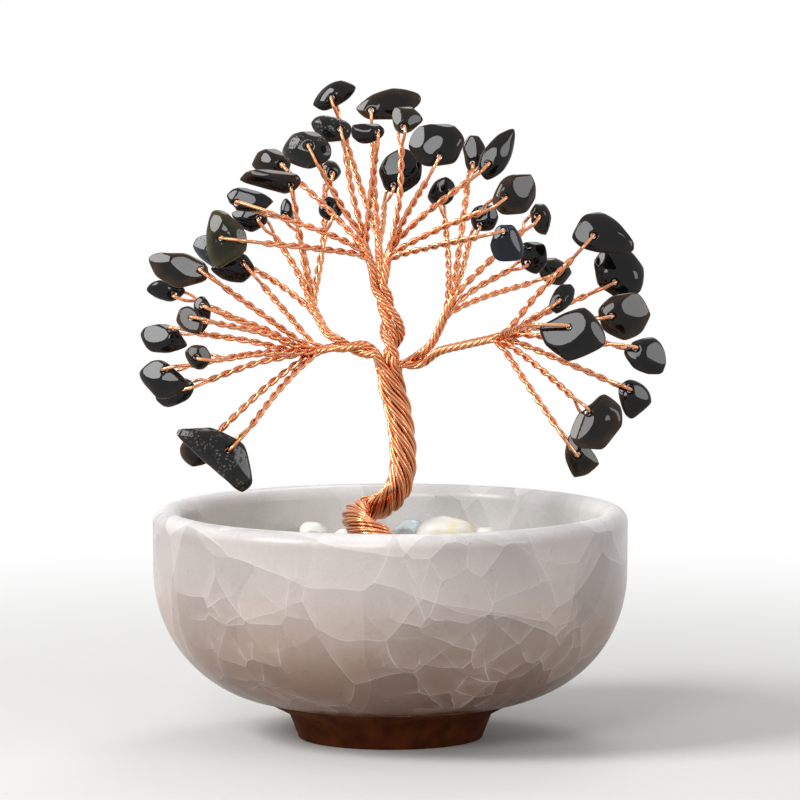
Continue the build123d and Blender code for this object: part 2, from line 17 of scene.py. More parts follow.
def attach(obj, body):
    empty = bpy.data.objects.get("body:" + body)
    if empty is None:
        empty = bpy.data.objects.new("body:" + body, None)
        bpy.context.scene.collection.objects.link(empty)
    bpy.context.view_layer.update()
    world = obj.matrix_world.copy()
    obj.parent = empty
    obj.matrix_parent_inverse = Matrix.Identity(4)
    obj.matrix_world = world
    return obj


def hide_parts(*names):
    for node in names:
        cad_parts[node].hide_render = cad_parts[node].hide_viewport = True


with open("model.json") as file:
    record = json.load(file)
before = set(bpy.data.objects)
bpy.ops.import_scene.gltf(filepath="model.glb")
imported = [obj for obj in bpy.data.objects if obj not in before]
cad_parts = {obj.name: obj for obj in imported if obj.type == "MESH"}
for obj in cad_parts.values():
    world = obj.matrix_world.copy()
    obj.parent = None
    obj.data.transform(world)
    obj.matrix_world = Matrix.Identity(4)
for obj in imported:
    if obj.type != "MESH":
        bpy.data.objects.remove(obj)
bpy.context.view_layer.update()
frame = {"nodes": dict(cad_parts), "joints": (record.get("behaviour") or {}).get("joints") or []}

LOG = logging.getLogger("gem_tree")
MM = 0.001
UP = Vector((0, 0, 1))
CURVE_STEPS = 16


def ramp(value: float, start: float, end: float) -> float:
    """0 before a span, 1 after it and an even rise over it.

    Args:
        value: Where to look.
        start: The span's start.
        end: The span's end.
    Returns:
        The share risen.
    """
    return min(max((value - start) / (end - start), 0.0), 1.0)


# Places in the reference view


@dataclass(frozen=True)
class ViewMap:
    """How the reference view sees the object: pixels across and down, and a share of the depth."""

    spread: float = 77.0 * MM
    depth: float = 42.0 * MM
    rim_height: float = 33.0 * MM
    spread_px: float = 539.0
    focal_px: float = 6188.0
    centre_px: float = 400.0
    axis_px: float = 390.5
    rim_px: float = 508.5
    tilt: float = math.radians(5.5)

    @property
    def scale(self) -> float:
        """Metres per pixel at the bowl's axis."""
        return self.spread / self.spread_px

    @property
    def aim(self) -> Vector:
        """The point at the middle of the view."""
        across = (self.centre_px - self.axis_px) * self.scale
        return Vector((across, 0, self.rim_height + (self.rim_px - self.centre_px) * self.scale))

    @property
    def eye(self) -> Vector:
        """Where the view is taken from."""
        away = Vector((0, -math.cos(self.tilt), math.sin(self.tilt)))
        return self.aim + away * self.focal_px * self.scale

    def place(self, across: float, down: float, depth_share: float) -> Vector:
        """The point seen at a pixel.

        Args:
            across: Pixel column.
            down: Pixel row.
            depth_share: Its depth (Y), as a share of the tree's depth.
        Returns:
            The point in the object's frame, in metres.
        """
        right = (across - self.centre_px) / self.focal_px
        rise = (self.centre_px - down) / self.focal_px
        cosine, sine = math.cos(self.tilt), math.sin(self.tilt)
        ray = Vector((right, cosine + rise * sine, rise * cosine - sine))
        return self.eye + ray * ((self.depth * depth_share - self.eye.y) / ray.y)


# Shader expressions


class Wire:
    """One value of a shader, on which Python's operators add Math nodes."""

    def __init__(self, nodes: "Nodes", socket: bpy.types.NodeSocket) -> None:
        """Wrap an output socket of a node tree."""
        self.nodes = nodes
        self.socket = socket

    def math(self, operation: str, first: Any, second: Any = 0.0) -> "Wire":
        """A Math node on two values."""
        return self.nodes.add("ShaderNodeMath", {"operation": operation}, {0: first, 1: second})

    def __add__(self, other: Any) -> "Wire":
        """Sum."""
        return self.math("ADD", self, other)

    __radd__ = __add__

    def __mul__(self, other: Any) -> "Wire":
        """Product."""
        return self.math("MULTIPLY", self, other)

    __rmul__ = __mul__

    def __sub__(self, other: Any) -> "Wire":
        """Difference."""
        return self.math("SUBTRACT", self, other)

    def __rsub__(self, other: Any) -> "Wire":
        """Difference from a number."""
        return self.math("SUBTRACT", other, self)

    def most(self, other: Any) -> "Wire":
        """The larger of two values."""
        return self.math("MAXIMUM", self, other)

    def rise(self, start: float, end: float) -> "Wire":
        """A smooth rise from 0 at start to 1 at end; start may be the larger.

        Args:
            start: The value at which it leaves 0.
            end: The value at which it reaches 1.
        Returns:
            The share risen.
        """
        low, high, first, last = (start, end, 0.0, 1.0) if start < end else (end, start, 1.0, 0.0)
        return self.nodes.add(
            "ShaderNodeMapRange",
            {"interpolation_type": "SMOOTHSTEP"},
            {"Value": self, "From Min": low, "From Max": high, "To Min": first, "To Max": last},
        )


class Nodes:
    """The node tree of one finish or of the world."""

    def __init__(self, owner: Union[bpy.types.Material, bpy.types.World]) -> None:
        """Start with an empty tree.

        Args:
            owner: The material or world that the tree belongs to.
        """
        self.owner = owner
        owner.use_nodes = True
        self.tree = owner.node_tree
        self.tree.nodes.clear()

    @classmethod
    def named(cls, name: str) -> "Nodes":
        """The empty tree of a new material."""
        return cls(bpy.data.materials.new(name))

    def add(
        self,
        kind: str,
        settings: Optional[dict] = None,
        inputs: Optional[dict] = None,
        output: Union[int, str] = 0,
    ) -> Wire:
        """Add a node.

        Args:
            kind: The node's type.
            settings: Its own settings, set first.
            inputs: Numbers, colours or values for its sockets, by name or number.
            output: Which of its outputs to give back.
        Returns:
            The chosen output.
        """
        node = self.tree.nodes.new(kind)
        for key, value in (settings or {}).items():
            setattr(node, key, value)
        for key, value in (inputs or {}).items():
            if isinstance(value, Wire):
                self.tree.links.new(value.socket, node.inputs[key])
            else:
                node.inputs[key].default_value = value
        return Wire(self, node.outputs[output])

    def place(self) -> Wire:
        """The surface's place on the object, in millimetres."""
        here = self.add("ShaderNodeTexCoord", output="Object")
        return self.add("ShaderNodeVectorMath", {"operation": "SCALE"}, {0: here, "Scale": 1 / MM})

    def height(self, here: Wire) -> Wire:
        """The Z of a place."""
        return self.add("ShaderNodeSeparateXYZ", None, {0: here}, "Z")

    def radius(self, here: Wire) -> Wire:
        """The distance of a place from the Z axis."""
        flat = self.add("ShaderNodeVectorMath", {"operation": "MULTIPLY"}, {0: here, 1: (1, 1, 0)})
        return self.add("ShaderNodeVectorMath", {"operation": "LENGTH"}, {0: flat}, "Value")

    def noise(self, here: Wire, size: float, detail: float = 3.0, output: str = "Fac") -> Wire:
        """Cloudy noise with lumps of a size in millimetres."""
        inputs = {"Vector": here, "Scale": 1 / size, "Detail": detail}
        return self.add("ShaderNodeTexNoise", None, inputs, output)

    def cells(self, here: Wire, size: float, feature: str, output: str) -> Wire:
        """Voronoi cells of a size in millimetres."""
        inputs = {"Vector": here, "Scale": 1 / size}
        return self.add("ShaderNodeTexVoronoi", {"feature": feature}, inputs, output)

    def warp(self, here: Wire, size: float, reach: float) -> Wire:
        """A place pushed about by noise of a size, by up to half a reach.

        Args:
            here: The place.
            size: Size of the noise's lumps, in millimetres.
            reach: Twice the farthest push, in millimetres.
        Returns:
            The pushed place.
        """
        cloud = self.noise(here, size, 2.0, "Color")
        centred = self.add(
            "ShaderNodeVectorMath", {"operation": "SUBTRACT"}, {0: cloud, 1: (0.5, 0.5, 0.5)}
        )
        return self.add(
            "ShaderNodeVectorMath",
            {"operation": "MULTIPLY_ADD"},
            {0: centred, 1: (reach, reach, reach), 2: here},
        )

    def mix(self, share: Any, first: Any, second: Any, blend: str = "MIX") -> Wire:
        """Two colours mixed by a share of the second.

        Args:
            share: Share of the second.
            first: The first colour.
            second: The second colour.
            blend: How the second is laid over the first.
        Returns:
            The mixed colour.
        """
        return self.add(
            "ShaderNodeMix",
            {"data_type": "RGBA", "blend_type": blend, "clamp_factor": True},
            {0: share, 6: first, 7: second},
            2,
        )

    def bump(self, height: Wire, strength: float, distance: float) -> Wire:
        """A surface normal from a height; distance is in millimetres."""
        inputs = {"Height": height, "Strength": strength, "Distance": distance * MM}
        return self.add("ShaderNodeBump", None, inputs)

    def principled(self, **inputs: Any) -> Wire:
        """A Principled shader; keyword names are its sockets with _ for spaces."""
        named = {key.replace("_", " "): value for key, value in inputs.items()}
        return self.add("ShaderNodeBsdfPrincipled", None, named)

    def seen(self) -> Wire:
        """Tell what the camera sees, also in a mirror or through glass.

        Returns:
            1 for such a ray, else 0.
        """
        kinds = ("Camera", "Glossy", "Transmission")
        camera, mirror, glass = [self.add("ShaderNodeLightPath", output=f"Is {kind} Ray") for kind in kinds]
        return camera.most(mirror).most(glass)

    def finish(self, surface: Wire) -> Any:
        """Join a shader to the tree's output.

        Args:
            surface: The shader.
        Returns:
            The material or world.
        """
        kind = "World" if isinstance(self.owner, bpy.types.World) else "Material"
        output = self.tree.nodes.new(f"ShaderNodeOutput{kind}")
        self.tree.links.new(surface.socket, output.inputs["Surface"])
        return self.owner

    def close(self, **inputs: Any) -> bpy.types.Material:
        """Finish a material with a Principled shader."""
        return self.finish(self.principled(**inputs))


Colour = tuple[float, float, float, float]


def colour(red: float, green: float, blue: float) -> Colour:
    """An opaque linear colour."""
    return (red, green, blue, 1.0)


# Finishes


@dataclass(frozen=True)
class CrackNet:
    """One net of cracks in a glaze, in millimetres and shares.

    Args:
        size: Width of its plates.
        bend_size: Size of the waves in its lines.
        bend: Reach of those waves.
        width: Width of a line.
        strength: How pale its lines are.
        tone: How far its plates differ from each other.
        slope: How much lighter a plate is at its lower edge than at its upper one, as painted light caught
            by the crack faces.
        where: Noise levels between which the net fades in; lower covers more.
    """

    size: float
    bend_size: float
    bend: float
    width: float
    strength: float
    tone: float
    slope: float
    where: tuple[float, float]


@dataclass(frozen=True)
class CrackleGlaze:
    """Warm grey glaze over clay, full of ice-like cracks, browner where it thins towards the foot; darkened
    there too as painted shade, paler at the lip as painted light, and lighter beside its cracks as painted
    light.
    """

    # Painted light: lip is a paler colour for the rim's crest, standing in for the light that falls on it.
    lip: Colour = colour(0.74, 0.715, 0.705)
    top: Colour = colour(0.50, 0.445, 0.425)
    middle: Colour = colour(0.33, 0.238, 0.19)
    # Painted shade: bottom is the browner glaze near the foot, darkened further to stand in for the
    # underside's shade.
    bottom: Colour = colour(0.105, 0.038, 0.012)
    inside: Colour = colour(0.66, 0.645, 0.63)
    crack: Colour = colour(0.78, 0.755, 0.735)
    pit: Colour = colour(0.10, 0.07, 0.055)
    low_zone: tuple[float, float] = (4.5, 19.0)
    high_zone: tuple[float, float] = (13.0, 30.0)
    lip_zone: tuple[float, float] = (30.8, 32.9)
    inner_wall: tuple[float, float] = (31.9, 31.1)
    inner_floor: tuple[float, float] = (20.0, 21.0)
    flake_width: float = 2.0
    nets: tuple[CrackNet, ...] = (
        CrackNet(25.0, 30.0, 18.0, 0.11, 0.30, 0.12, 0.14, (0.10, 0.20)),
        CrackNet(10.5, 15.0, 4.0, 0.10, 0.26, 0.13, 0.16, (0.26, 0.38)),
        CrackNet(5.2, 7.0, 1.6, 0.10, 0.30, 0.12, 0.14, (0.46, 0.58)),
    )

    def material(self) -> bpy.types.Material:
        """Build the finish.

        Returns:
            The new material.
        """
        nodes = Nodes.named("crackle_glaze")
        here = nodes.place()
        height = nodes.height(here)
        out = nodes.radius(here)
        within = out.rise(*self.inner_wall) * height.rise(*self.inner_floor)
        # Painted shade: the wall darkens towards the foot for the underside's shade, on top of the glaze's
        # real browning.
        low = nodes.mix(height.rise(*self.low_zone), self.bottom, self.middle)
        ground = nodes.mix(height.rise(*self.high_zone), low, self.top)
        ground = nodes.mix(within, ground, self.inside)
        # Painted light: the lip band is painted paler in patches, for the light on the rim's crest.
        patchy = nodes.noise(here, 1.2, 3.0)
        ground = nodes.mix(height.rise(*self.lip_zone) * (patchy * 0.5 + 0.6), ground, self.lip)
        grain = nodes.noise(here, 0.32, 2.0)
        tone = grain * 0.16 + nodes.noise(here, 6.0, 4.0) * 0.14 + 0.85
        lines = crack_light = None
        for net in self.nets:
            bent = nodes.warp(here, net.bend_size, net.bend)
            edge = nodes.cells(bent, net.size, "DISTANCE_TO_EDGE", "Distance") * net.size
            plate = nodes.cells(bent, net.size, "F1", "Color")
            uneven = nodes.add("ShaderNodeSeparateColor", None, {0: plate}, 0)
            shade = nodes.add("ShaderNodeSeparateColor", None, {0: plate}, 1)
            spot = nodes.cells(bent, net.size, "F1", "Position")
            drop = (nodes.height(spot) - nodes.height(bent)) * (1 / net.size) + (uneven - 0.5) * 0.3
            # lower_part marks each plate's lower side, where painted light caught by the crack faces is
            # laid on the crack lines and beside them.
            lower_part = drop.rise(-0.06, 0.14)
            shown = nodes.noise(here, 19.0 + net.size, 1.0).rise(*net.where)
            broken = nodes.noise(here, 3.4, 2.0).rise(0.30, 0.56) * 0.7 + 0.3
            pale = broken * shown * net.strength
            line = edge.rise(net.width, net.width * 0.25) * (lower_part * 0.85 + 0.15) * pale
            # Painted light: a pale glow beside each crack on the plate's lower side, for light caught by
            # the crack faces.
            caught_light = edge.rise(self.flake_width, -0.6) * lower_part * pale * 0.8
            # The slope term paints each plate lighter at its lower edge as painted light; the shade term is
            # the plate's own tone.
            tone = tone + ((shade - 0.5) * net.tone + drop * net.slope) * shown
            lines = line if lines is None else lines.most(line)
            crack_light = caught_light if crack_light is None else crack_light.most(caught_light)
        level = nodes.add("ShaderNodeCombineColor", None, {0: tone, 1: tone, 2: tone})
        painted = nodes.mix(1.0, ground, level, "MULTIPLY")
        painted = nodes.mix(crack_light, painted, nodes.mix(0.5, ground, self.crack))
        painted = nodes.mix(lines, painted, self.crack)
        pinhole = nodes.cells(here, 3.6, "F1", "Distance").rise(0.05, 0.025)
        painted = nodes.mix(pinhole * 0.35, painted, self.pit)
        relief = nodes.noise(here, 3.2, 1.0) * 0.6 + lines * 0.4 - pinhole * 0.4
        return nodes.close(
            Base_Color=painted,
            Roughness=nodes.noise(here, 3.0, 1.0) * 0.10 + 0.24,
            Specular_IOR_Level=0.26,
            Coat_Weight=0.14,
            Coat_Roughness=0.08,
            Normal=nodes.bump(relief, 0.12, 0.10),
        )


@dataclass(frozen=True)
class BareClay:
    """Red-brown fired clay of the foot ring, painted darker as painted shade for the shadow under the bowl.
    """

    # Painted shade: both clay colours are darkened to the foot's look in shadow.
    dark: Colour = colour(0.036, 0.008, 0.002)
    light: Colour = colour(0.105, 0.027, 0.007)

    def material(self) -> bpy.types.Material:
        """Build the finish.

        Returns:
            The new material.
        """
        nodes = Nodes.named("bare_clay")
        here = nodes.place()
        body = nodes.mix(nodes.noise(here, 3.4, 3.0).rise(0.15, 0.85), self.dark, self.light)
        grain = nodes.noise(here, 0.45, 3.0)
        rings = nodes.height(here) * 6.0
        turned = nodes.add("ShaderNodeMath", {"operation": "SINE"}, {0: rings})
        return nodes.close(
            Base_Color=body,
            Roughness=grain * 0.22 + 0.58,
            Specular_IOR_Level=0.05,
            Normal=nodes.bump(grain + turned * 0.25, 0.25, 0.12),
        )


@dataclass(frozen=True)
class Copper:
    """Bright drawn copper wire, rosier and duller in patches."""

    bright: Colour = colour(0.82, 0.37, 0.19)
    rosy: Colour = colour(0.68, 0.27, 0.125)

    def material(self) -> bpy.types.Material:
        """Build the finish.

        Returns:
            The new material.
        """
        nodes = Nodes.named("copper_wire")
        here = nodes.place()
        patch = nodes.noise(here, 6.0, 2.0).rise(0.32, 0.72)
        drawn = nodes.noise(here, 2.0, 2.0)
        return nodes.close(
            Base_Color=nodes.mix(patch, self.bright, self.rosy),
            Metallic=1.0,
            Roughness=drawn * 0.07 + 0.15,
        )


class ChipLook(Enum):
    """The kinds of obsidian on the tree: body, thin-edge tint and share of pitting."""

    JET = (colour(0.003, 0.003, 0.004), colour(0.026, 0.013, 0.006), 0.0)
    SMOKY = (colour(0.006, 0.004, 0.003), colour(0.080, 0.040, 0.016), 0.0)
    OLIVE = (colour(0.010, 0.009, 0.003), colour(0.085, 0.070, 0.022), 0.15)
    PITTED = (colour(0.006, 0.006, 0.007), colour(0.045, 0.034, 0.022), 1.0)
    BLUE = (colour(0.004, 0.007, 0.012), colour(0.022, 0.032, 0.048), 0.0)
    # Painted reflection: a paler, bluish grey body and edge, standing in for the pale-blue softbox
    # reflection on the chip's facet.
    PALE = (colour(0.020, 0.022, 0.026), colour(0.13, 0.14, 0.15), 0.5)


@dataclass(frozen=True)
class Obsidian:
    """Polished volcanic glass: black, browner where it is thin, pitted on some chips, with painted glints
    in the pits.
    """

    look: ChipLook

    def material(self) -> bpy.types.Material:
        """Build the finish.

        Returns:
            The new material.
        """
        body, edge, pitting = self.look.value
        nodes = Nodes.named(f"obsidian_{self.look.name.lower()}")
        here = nodes.place()
        thin = nodes.add("ShaderNodeAttribute", {"attribute_name": "thin"}, None, "Fac")
        veil = nodes.noise(nodes.warp(here, 3.0, 2.0), 2.4, 3.0).rise(0.45, 0.75)
        streak = thin * (veil * 0.6 + 0.4)
        painted = nodes.mix(streak, body, edge)
        pits = nodes.cells(nodes.warp(here, 0.8, 0.5), 0.50, "F1", "Distance").rise(0.42, 0.16)
        chipped = nodes.noise(here, 2.4, 2.0).rise(0.42, 0.56) * pits * pitting
        # Painted glints: the pits are painted pale grey, standing in for light glinting on the pitted
        # surface; their roughness and bump are real.
        painted_glints = nodes.mix(chipped * 0.42, painted, colour(0.22, 0.21, 0.19))
        smear = nodes.noise(here, 1.6, 4.0)
        relief = smear * 0.08 - chipped * 2.5
        return nodes.close(
            Base_Color=painted_glints,
            Roughness=smear * 0.06 + chipped * 0.35 + 0.02,
            IOR=1.49,
            Specular_IOR_Level=0.25,
            Normal=nodes.bump(relief, 0.16, 0.10),
        )


@dataclass(frozen=True)
class Pebble:
    """A tumbled stone of the gravel."""

    name: str
    light: Colour
    tint: Colour
    roughness: float
    clear: float = 0.0

    def material(self) -> bpy.types.Material:
        """Build the finish.

        Returns:
            The new material.
        """
        nodes = Nodes.named(self.name)
        here = nodes.place()
        band = nodes.noise(nodes.warp(here, 4.0, 3.0), 3.4, 4.0).rise(0.48, 0.70)
        grain = nodes.noise(here, 0.5, 4.0)
        return nodes.close(
            Base_Color=nodes.mix(band, self.light, self.tint),
            Roughness=grain * 0.2 + self.roughness,
            Transmission_Weight=self.clear,
            IOR=1.46,
            Normal=nodes.bump(grain, 0.2, 0.1),
        )


@dataclass(frozen=True)
class CastBed:
    """Pale sandy resin that holds the gravel."""

    sand: Colour = colour(0.50, 0.44, 0.36)
    grit: Colour = colour(0.70, 0.66, 0.58)

    def material(self) -> bpy.types.Material:
        """Build the finish.

        Returns:
            The new material.
        """
        nodes = Nodes.named("cast_bed")
        here = nodes.place()
        grains = nodes.cells(here, 0.8, "F1", "Color")
        tone = nodes.add("ShaderNodeSeparateColor", None, {0: grains}, 0)
        bumps = nodes.cells(here, 0.8, "SMOOTH_F1", "Distance")
        return nodes.close(
            Base_Color=nodes.mix(tone, self.sand, self.grit),
            Roughness=tone * 0.25 + 0.55,
            Normal=nodes.bump(1.0 - bumps, 0.5, 0.4),
        )


# Meshes


def piece(name: str, mesh: bpy.types.Mesh, body: str, slot: str, *replaced: str) -> bpy.types.Object:
    """Put a finished mesh into the scene as a piece.

    Args:
        name: The piece's name.
        mesh: Its mesh, already in place and dressed.
        body: The CAD body that it rides on.
        slot: The record's material slot; not used.
        replaced: CAD nodes that it stands for.
    Returns:
        The new object.
    """
    made = bpy.data.objects.new(name, mesh)
    bpy.context.scene.collection.objects.link(made)
    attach(made, body)
    if replaced:
        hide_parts(*replaced)
    LOG.info("%s: %d faces on %s", name, len(mesh.polygons), body)
    return made


def close_mesh(bm: bmesh.types.BMesh, name: str, materials: Iterable[bpy.types.Material]) -> bpy.types.Mesh:
    """Turn a bmesh into a smooth mesh with its materials.

    Args:
        bm: The shape, which is freed.
        name: The mesh's name.
        materials: Its materials, in slot order.
    Returns:
        The new mesh.
    """
    mesh = bpy.data.meshes.new(name)
    for face in bm.faces:
        face.smooth = True
    bm.to_mesh(mesh)
    bm.free()
    for material in materials:
        mesh.materials.append(material)
    return mesh


def lathe(section: Sequence[tuple[float, float]], steps: int) -> bmesh.types.BMesh:
    """Spin a half section, in metres from the axis and up, into a closed form.

    Args:
        section: Points of the half section.
        steps: Steps of the full turn.
    Returns:
        The closed form.
    """
    bm = bmesh.new()
    verts = [bm.verts.new((radius, 0, height)) for radius, height in section]
    edges = [bm.edges.new(pair) for pair in zip(verts, verts[1:])]
    bmesh.ops.spin(
        bm, geom=verts + edges, axis=UP, cent=(0, 0, 0), angle=math.tau, steps=steps, use_merge=True
    )
    bmesh.ops.remove_doubles(bm, verts=bm.verts, dist=0.001 * MM)
    bmesh.ops.recalc_face_normals(bm, faces=bm.faces)
    return bm


def arc(
    centre: tuple[float, float], radius: float, start: float, end: float, steps: int
) -> list[tuple[float, float]]:
    """Points of an arc in a half section, between two angles in degrees."""
    turns = [math.radians(start + (end - start) * step / steps) for step in range(steps + 1)]
    return [(centre[0] + radius * math.cos(turn), centre[1] + radius * math.sin(turn)) for turn in turns]


def smooth_line(points: Sequence[Vector], step: float) -> list[Vector]:
    """Even steps along a smooth line through points.

    Args:
        points: The points that the line passes.
        step: Distance between the points given back.
    Returns:
        Points of the line, its two ends among them.
    """
    fine: list[Vector] = []
    last = len(points) - 1
    for index in range(last):
        start, end = points[index], points[index + 1]
        before, after = points[max(index - 1, 0)], points[min(index + 2, last)]
        leave, arrive = start + (end - before) / 6, end - (after - start) / 6
        fine += interpolate_bezier(start, leave, arrive, end, CURVE_STEPS)[:-1]
    fine.append(points[-1].copy())
    made, walked = [fine[0].copy()], 0.0
    for start, end in zip(fine, fine[1:]):
        length = (end - start).length
        while length > 0 and walked + length >= step:
            start = start.lerp(end, (step - walked) / length)
            made.append(start.copy())
            length = (end - start).length
            walked = 0.0
        walked += length
    if walked > step / 2:
        made.append(points[-1].copy())
    return made


def frames(line: Sequence[Vector], first_side: Vector) -> list[tuple[Vector, Vector]]:
    """A side and an across direction at each point of a line, carried along it without twist.

    Args:
        line: The line.
        first_side: The side direction at its start.
    Returns:
        The two directions at each point.
    """
    made = []
    side = first_side
    for index in range(len(line)):
        along = (line[min(index + 1, len(line) - 1)] - line[max(index - 1, 0)]).normalized()
        side = (side - along * side.dot(along)).normalized()
        made.append((side, side.cross(along)))
    return made


def wind(
    line: Sequence[Vector], first_side: Vector, radii: Sequence[float], angles: Sequence[float]
) -> list[Vector]:
    """Points beside a line.

    Args:
        line: The line.
        first_side: The direction of angle 0 at its start.
        radii: Each point's distance from the line.
        angles: Each point's angle round it, in degrees.
    Returns:
        One point for each of the line's.
    """
    made = []
    for point, (side, across), radius, angle in zip(line, frames(line, first_side), radii, angles):
        turn = math.radians(angle)
        made.append(point + (side * math.cos(turn) + across * math.sin(turn)) * radius)
    return made


def back_along(line: Sequence[Vector], distance: float) -> Vector:
    """The point of an evenly stepped line at a distance back from its end."""
    step = (line[1] - line[0]).length
    return line[max(len(line) - 1 - round(distance / step), 0)]


def smooth(bm: bmesh.types.BMesh, verts: Sequence[bmesh.types.BMVert], factor: float) -> None:
    """Move some points of a shape a part of the way to the middle of their neighbours."""
    bmesh.ops.smooth_vert(
        bm, verts=verts, factor=factor, use_axis_x=True, use_axis_y=True, use_axis_z=True
    )


@dataclass
class WireMesh:
    """Many round wires that become one mesh."""

    name: str
    radius: float
    sides: int = 3
    lines: list[tuple[list[Vector], list[float]]] = field(default_factory=list)

    def run(self, line: Sequence[Vector], shares: Optional[Sequence[float]] = None) -> None:
        """Add a wire along a line; shares are of the usual radius."""
        self.lines.append((list(line), list(shares or [1.0] * len(line))))

    def mesh(self, material: bpy.types.Material) -> bpy.types.Mesh:
        """Bevel every line into one mesh with a material.

        Args:
            material: The wires' finish.
        Returns:
            The mesh of all the wires.
        """
        curve = bpy.data.curves.new(self.name, "CURVE")
        curve.dimensions = "3D"
        curve.bevel_depth = self.radius
        curve.bevel_resolution = self.sides
        curve.use_fill_caps = True
        for line, shares in self.lines:
            spline = curve.splines.new("POLY")
            spline.points.add(len(line) - 1)
            for point, place, share in zip(spline.points, line, shares):
                point.co = (*place, 1.0)
                point.radius = share
        holder = bpy.data.objects.new(self.name, curve)
        made = bpy.data.meshes.new_from_object(holder)
        bpy.data.objects.remove(holder)
        bpy.data.curves.remove(curve)
        made.shade_smooth()
        made.materials.clear()
        made.materials.append(material)
        return made


# The bowl and what fills it


@dataclass
class Bowl:
    """A small thrown bowl with a rounded lip, a thick glaze edge and a bare foot ring."""

    radius: float = 34.0 * MM
    height: float = 33.0 * MM
    wall: float = 4.0 * MM
    belly: float = 18.7 * MM
    belly_top: float = 24.0 * MM
    foot_height: float = 5.6 * MM
    foot_top: float = 15.5 * MM
    foot_radius: float = 13.3 * MM
    foot_ring: float = 3.4 * MM
    foot_recess: float = 2.4 * MM
    glaze_roll: float = 0.55 * MM
    foot_edge: float = 0.4 * MM
    wobble: float = 0.16 * MM
    wobble_size: float = 14.0 * MM
    glaze_wave: float = 0.15 * MM
    steps: int = 144

    def section(self) -> list[tuple[float, float]]:
        """The half section, from the middle of the underside round to the middle of the inside.

        Returns:
            Points, as distances from the axis and heights.
        """
        belly = (self.radius - self.belly, self.belly_top)
        lip = (self.radius - self.wall / 2, self.height - self.wall / 2)
        ring = self.foot_radius - self.foot_ring
        low = math.degrees(math.asin((self.foot_height - self.belly_top) / self.belly))
        edge = belly[0] + self.belly * math.cos(math.radians(low))
        flare = [(0.0, -1.5), (0.28, -1.05), (0.6, -0.55), (0.9, -0.1)]
        points = [(0.0, self.foot_recess), (ring - self.foot_edge, self.foot_recess)]
        points += [(ring, self.foot_recess - self.foot_edge), (ring, self.foot_edge)]
        points += [(ring + self.foot_edge, 0.0), (self.foot_radius - self.foot_edge, 0.0)]
        points += arc((self.foot_radius - self.foot_edge, self.foot_edge), self.foot_edge, -60, 10, 3)
        points += [
            (self.foot_radius + (self.foot_top - self.foot_radius) * share**1.25, self.foot_height * share)
            for share in (0.2, 0.35, 0.5, 0.65)
        ]
        points += [
            (self.foot_top + (edge - self.foot_top) * out, self.foot_height + drop * MM)
            for out, drop in flare
        ]
        roll = (edge - self.glaze_roll * 0.5, self.foot_height + self.glaze_roll)
        points += arc(roll, self.glaze_roll, -130, -60, 5)
        points += arc(belly, self.belly, low + 3, 0, 26)
        upright = lip[1] - self.belly_top
        points += [(self.radius, self.belly_top + upright * share) for share in (0.25, 0.5, 0.75)]
        points += arc(lip, self.wall / 2, 0, 180, 14)
        points += [(self.radius - self.wall, self.belly_top + upright * share) for share in (0.7, 0.35)]
        points += arc(belly, self.belly - self.wall, 0, -90, 12)
        return points + [(0.0, self.belly_top - self.belly + self.wall)]

    def build(self) -> bpy.types.Object:
        """Throw the bowl and dress it in glaze and clay.

        Returns:
            The bowl's piece.
        """
        bm = lathe(self.section(), self.steps)
        for face in bm.faces:
            if face.calc_center_median().z < self.foot_height - 0.02 * MM:
                face.material_index = 1
        for vert in bm.verts:
            out = Vector((vert.co.x, vert.co.y, 0))
            if out.length < 1 * MM:
                continue
            above_foot = ramp(vert.co.z, self.foot_height, 2 * self.foot_height)
            lump = noise.noise(vert.co / self.wobble_size) * self.wobble * above_foot
            vert.co += out.normalized() * lump
            near_edge = 1 - ramp(abs(vert.co.z - self.foot_height), 0.8 * MM, 2.6 * MM)
            wave = noise.noise(out.normalized() * 2.2 + UP * 3.1) * self.glaze_wave
            if out.length > self.foot_top:
                vert.co.z += wave * near_edge
        mesh = close_mesh(bm, "bowl_glazed", [CrackleGlaze().material(), BareClay().material()])
        return piece("bowl_glazed", mesh, "planter", "glaze", "bowl")


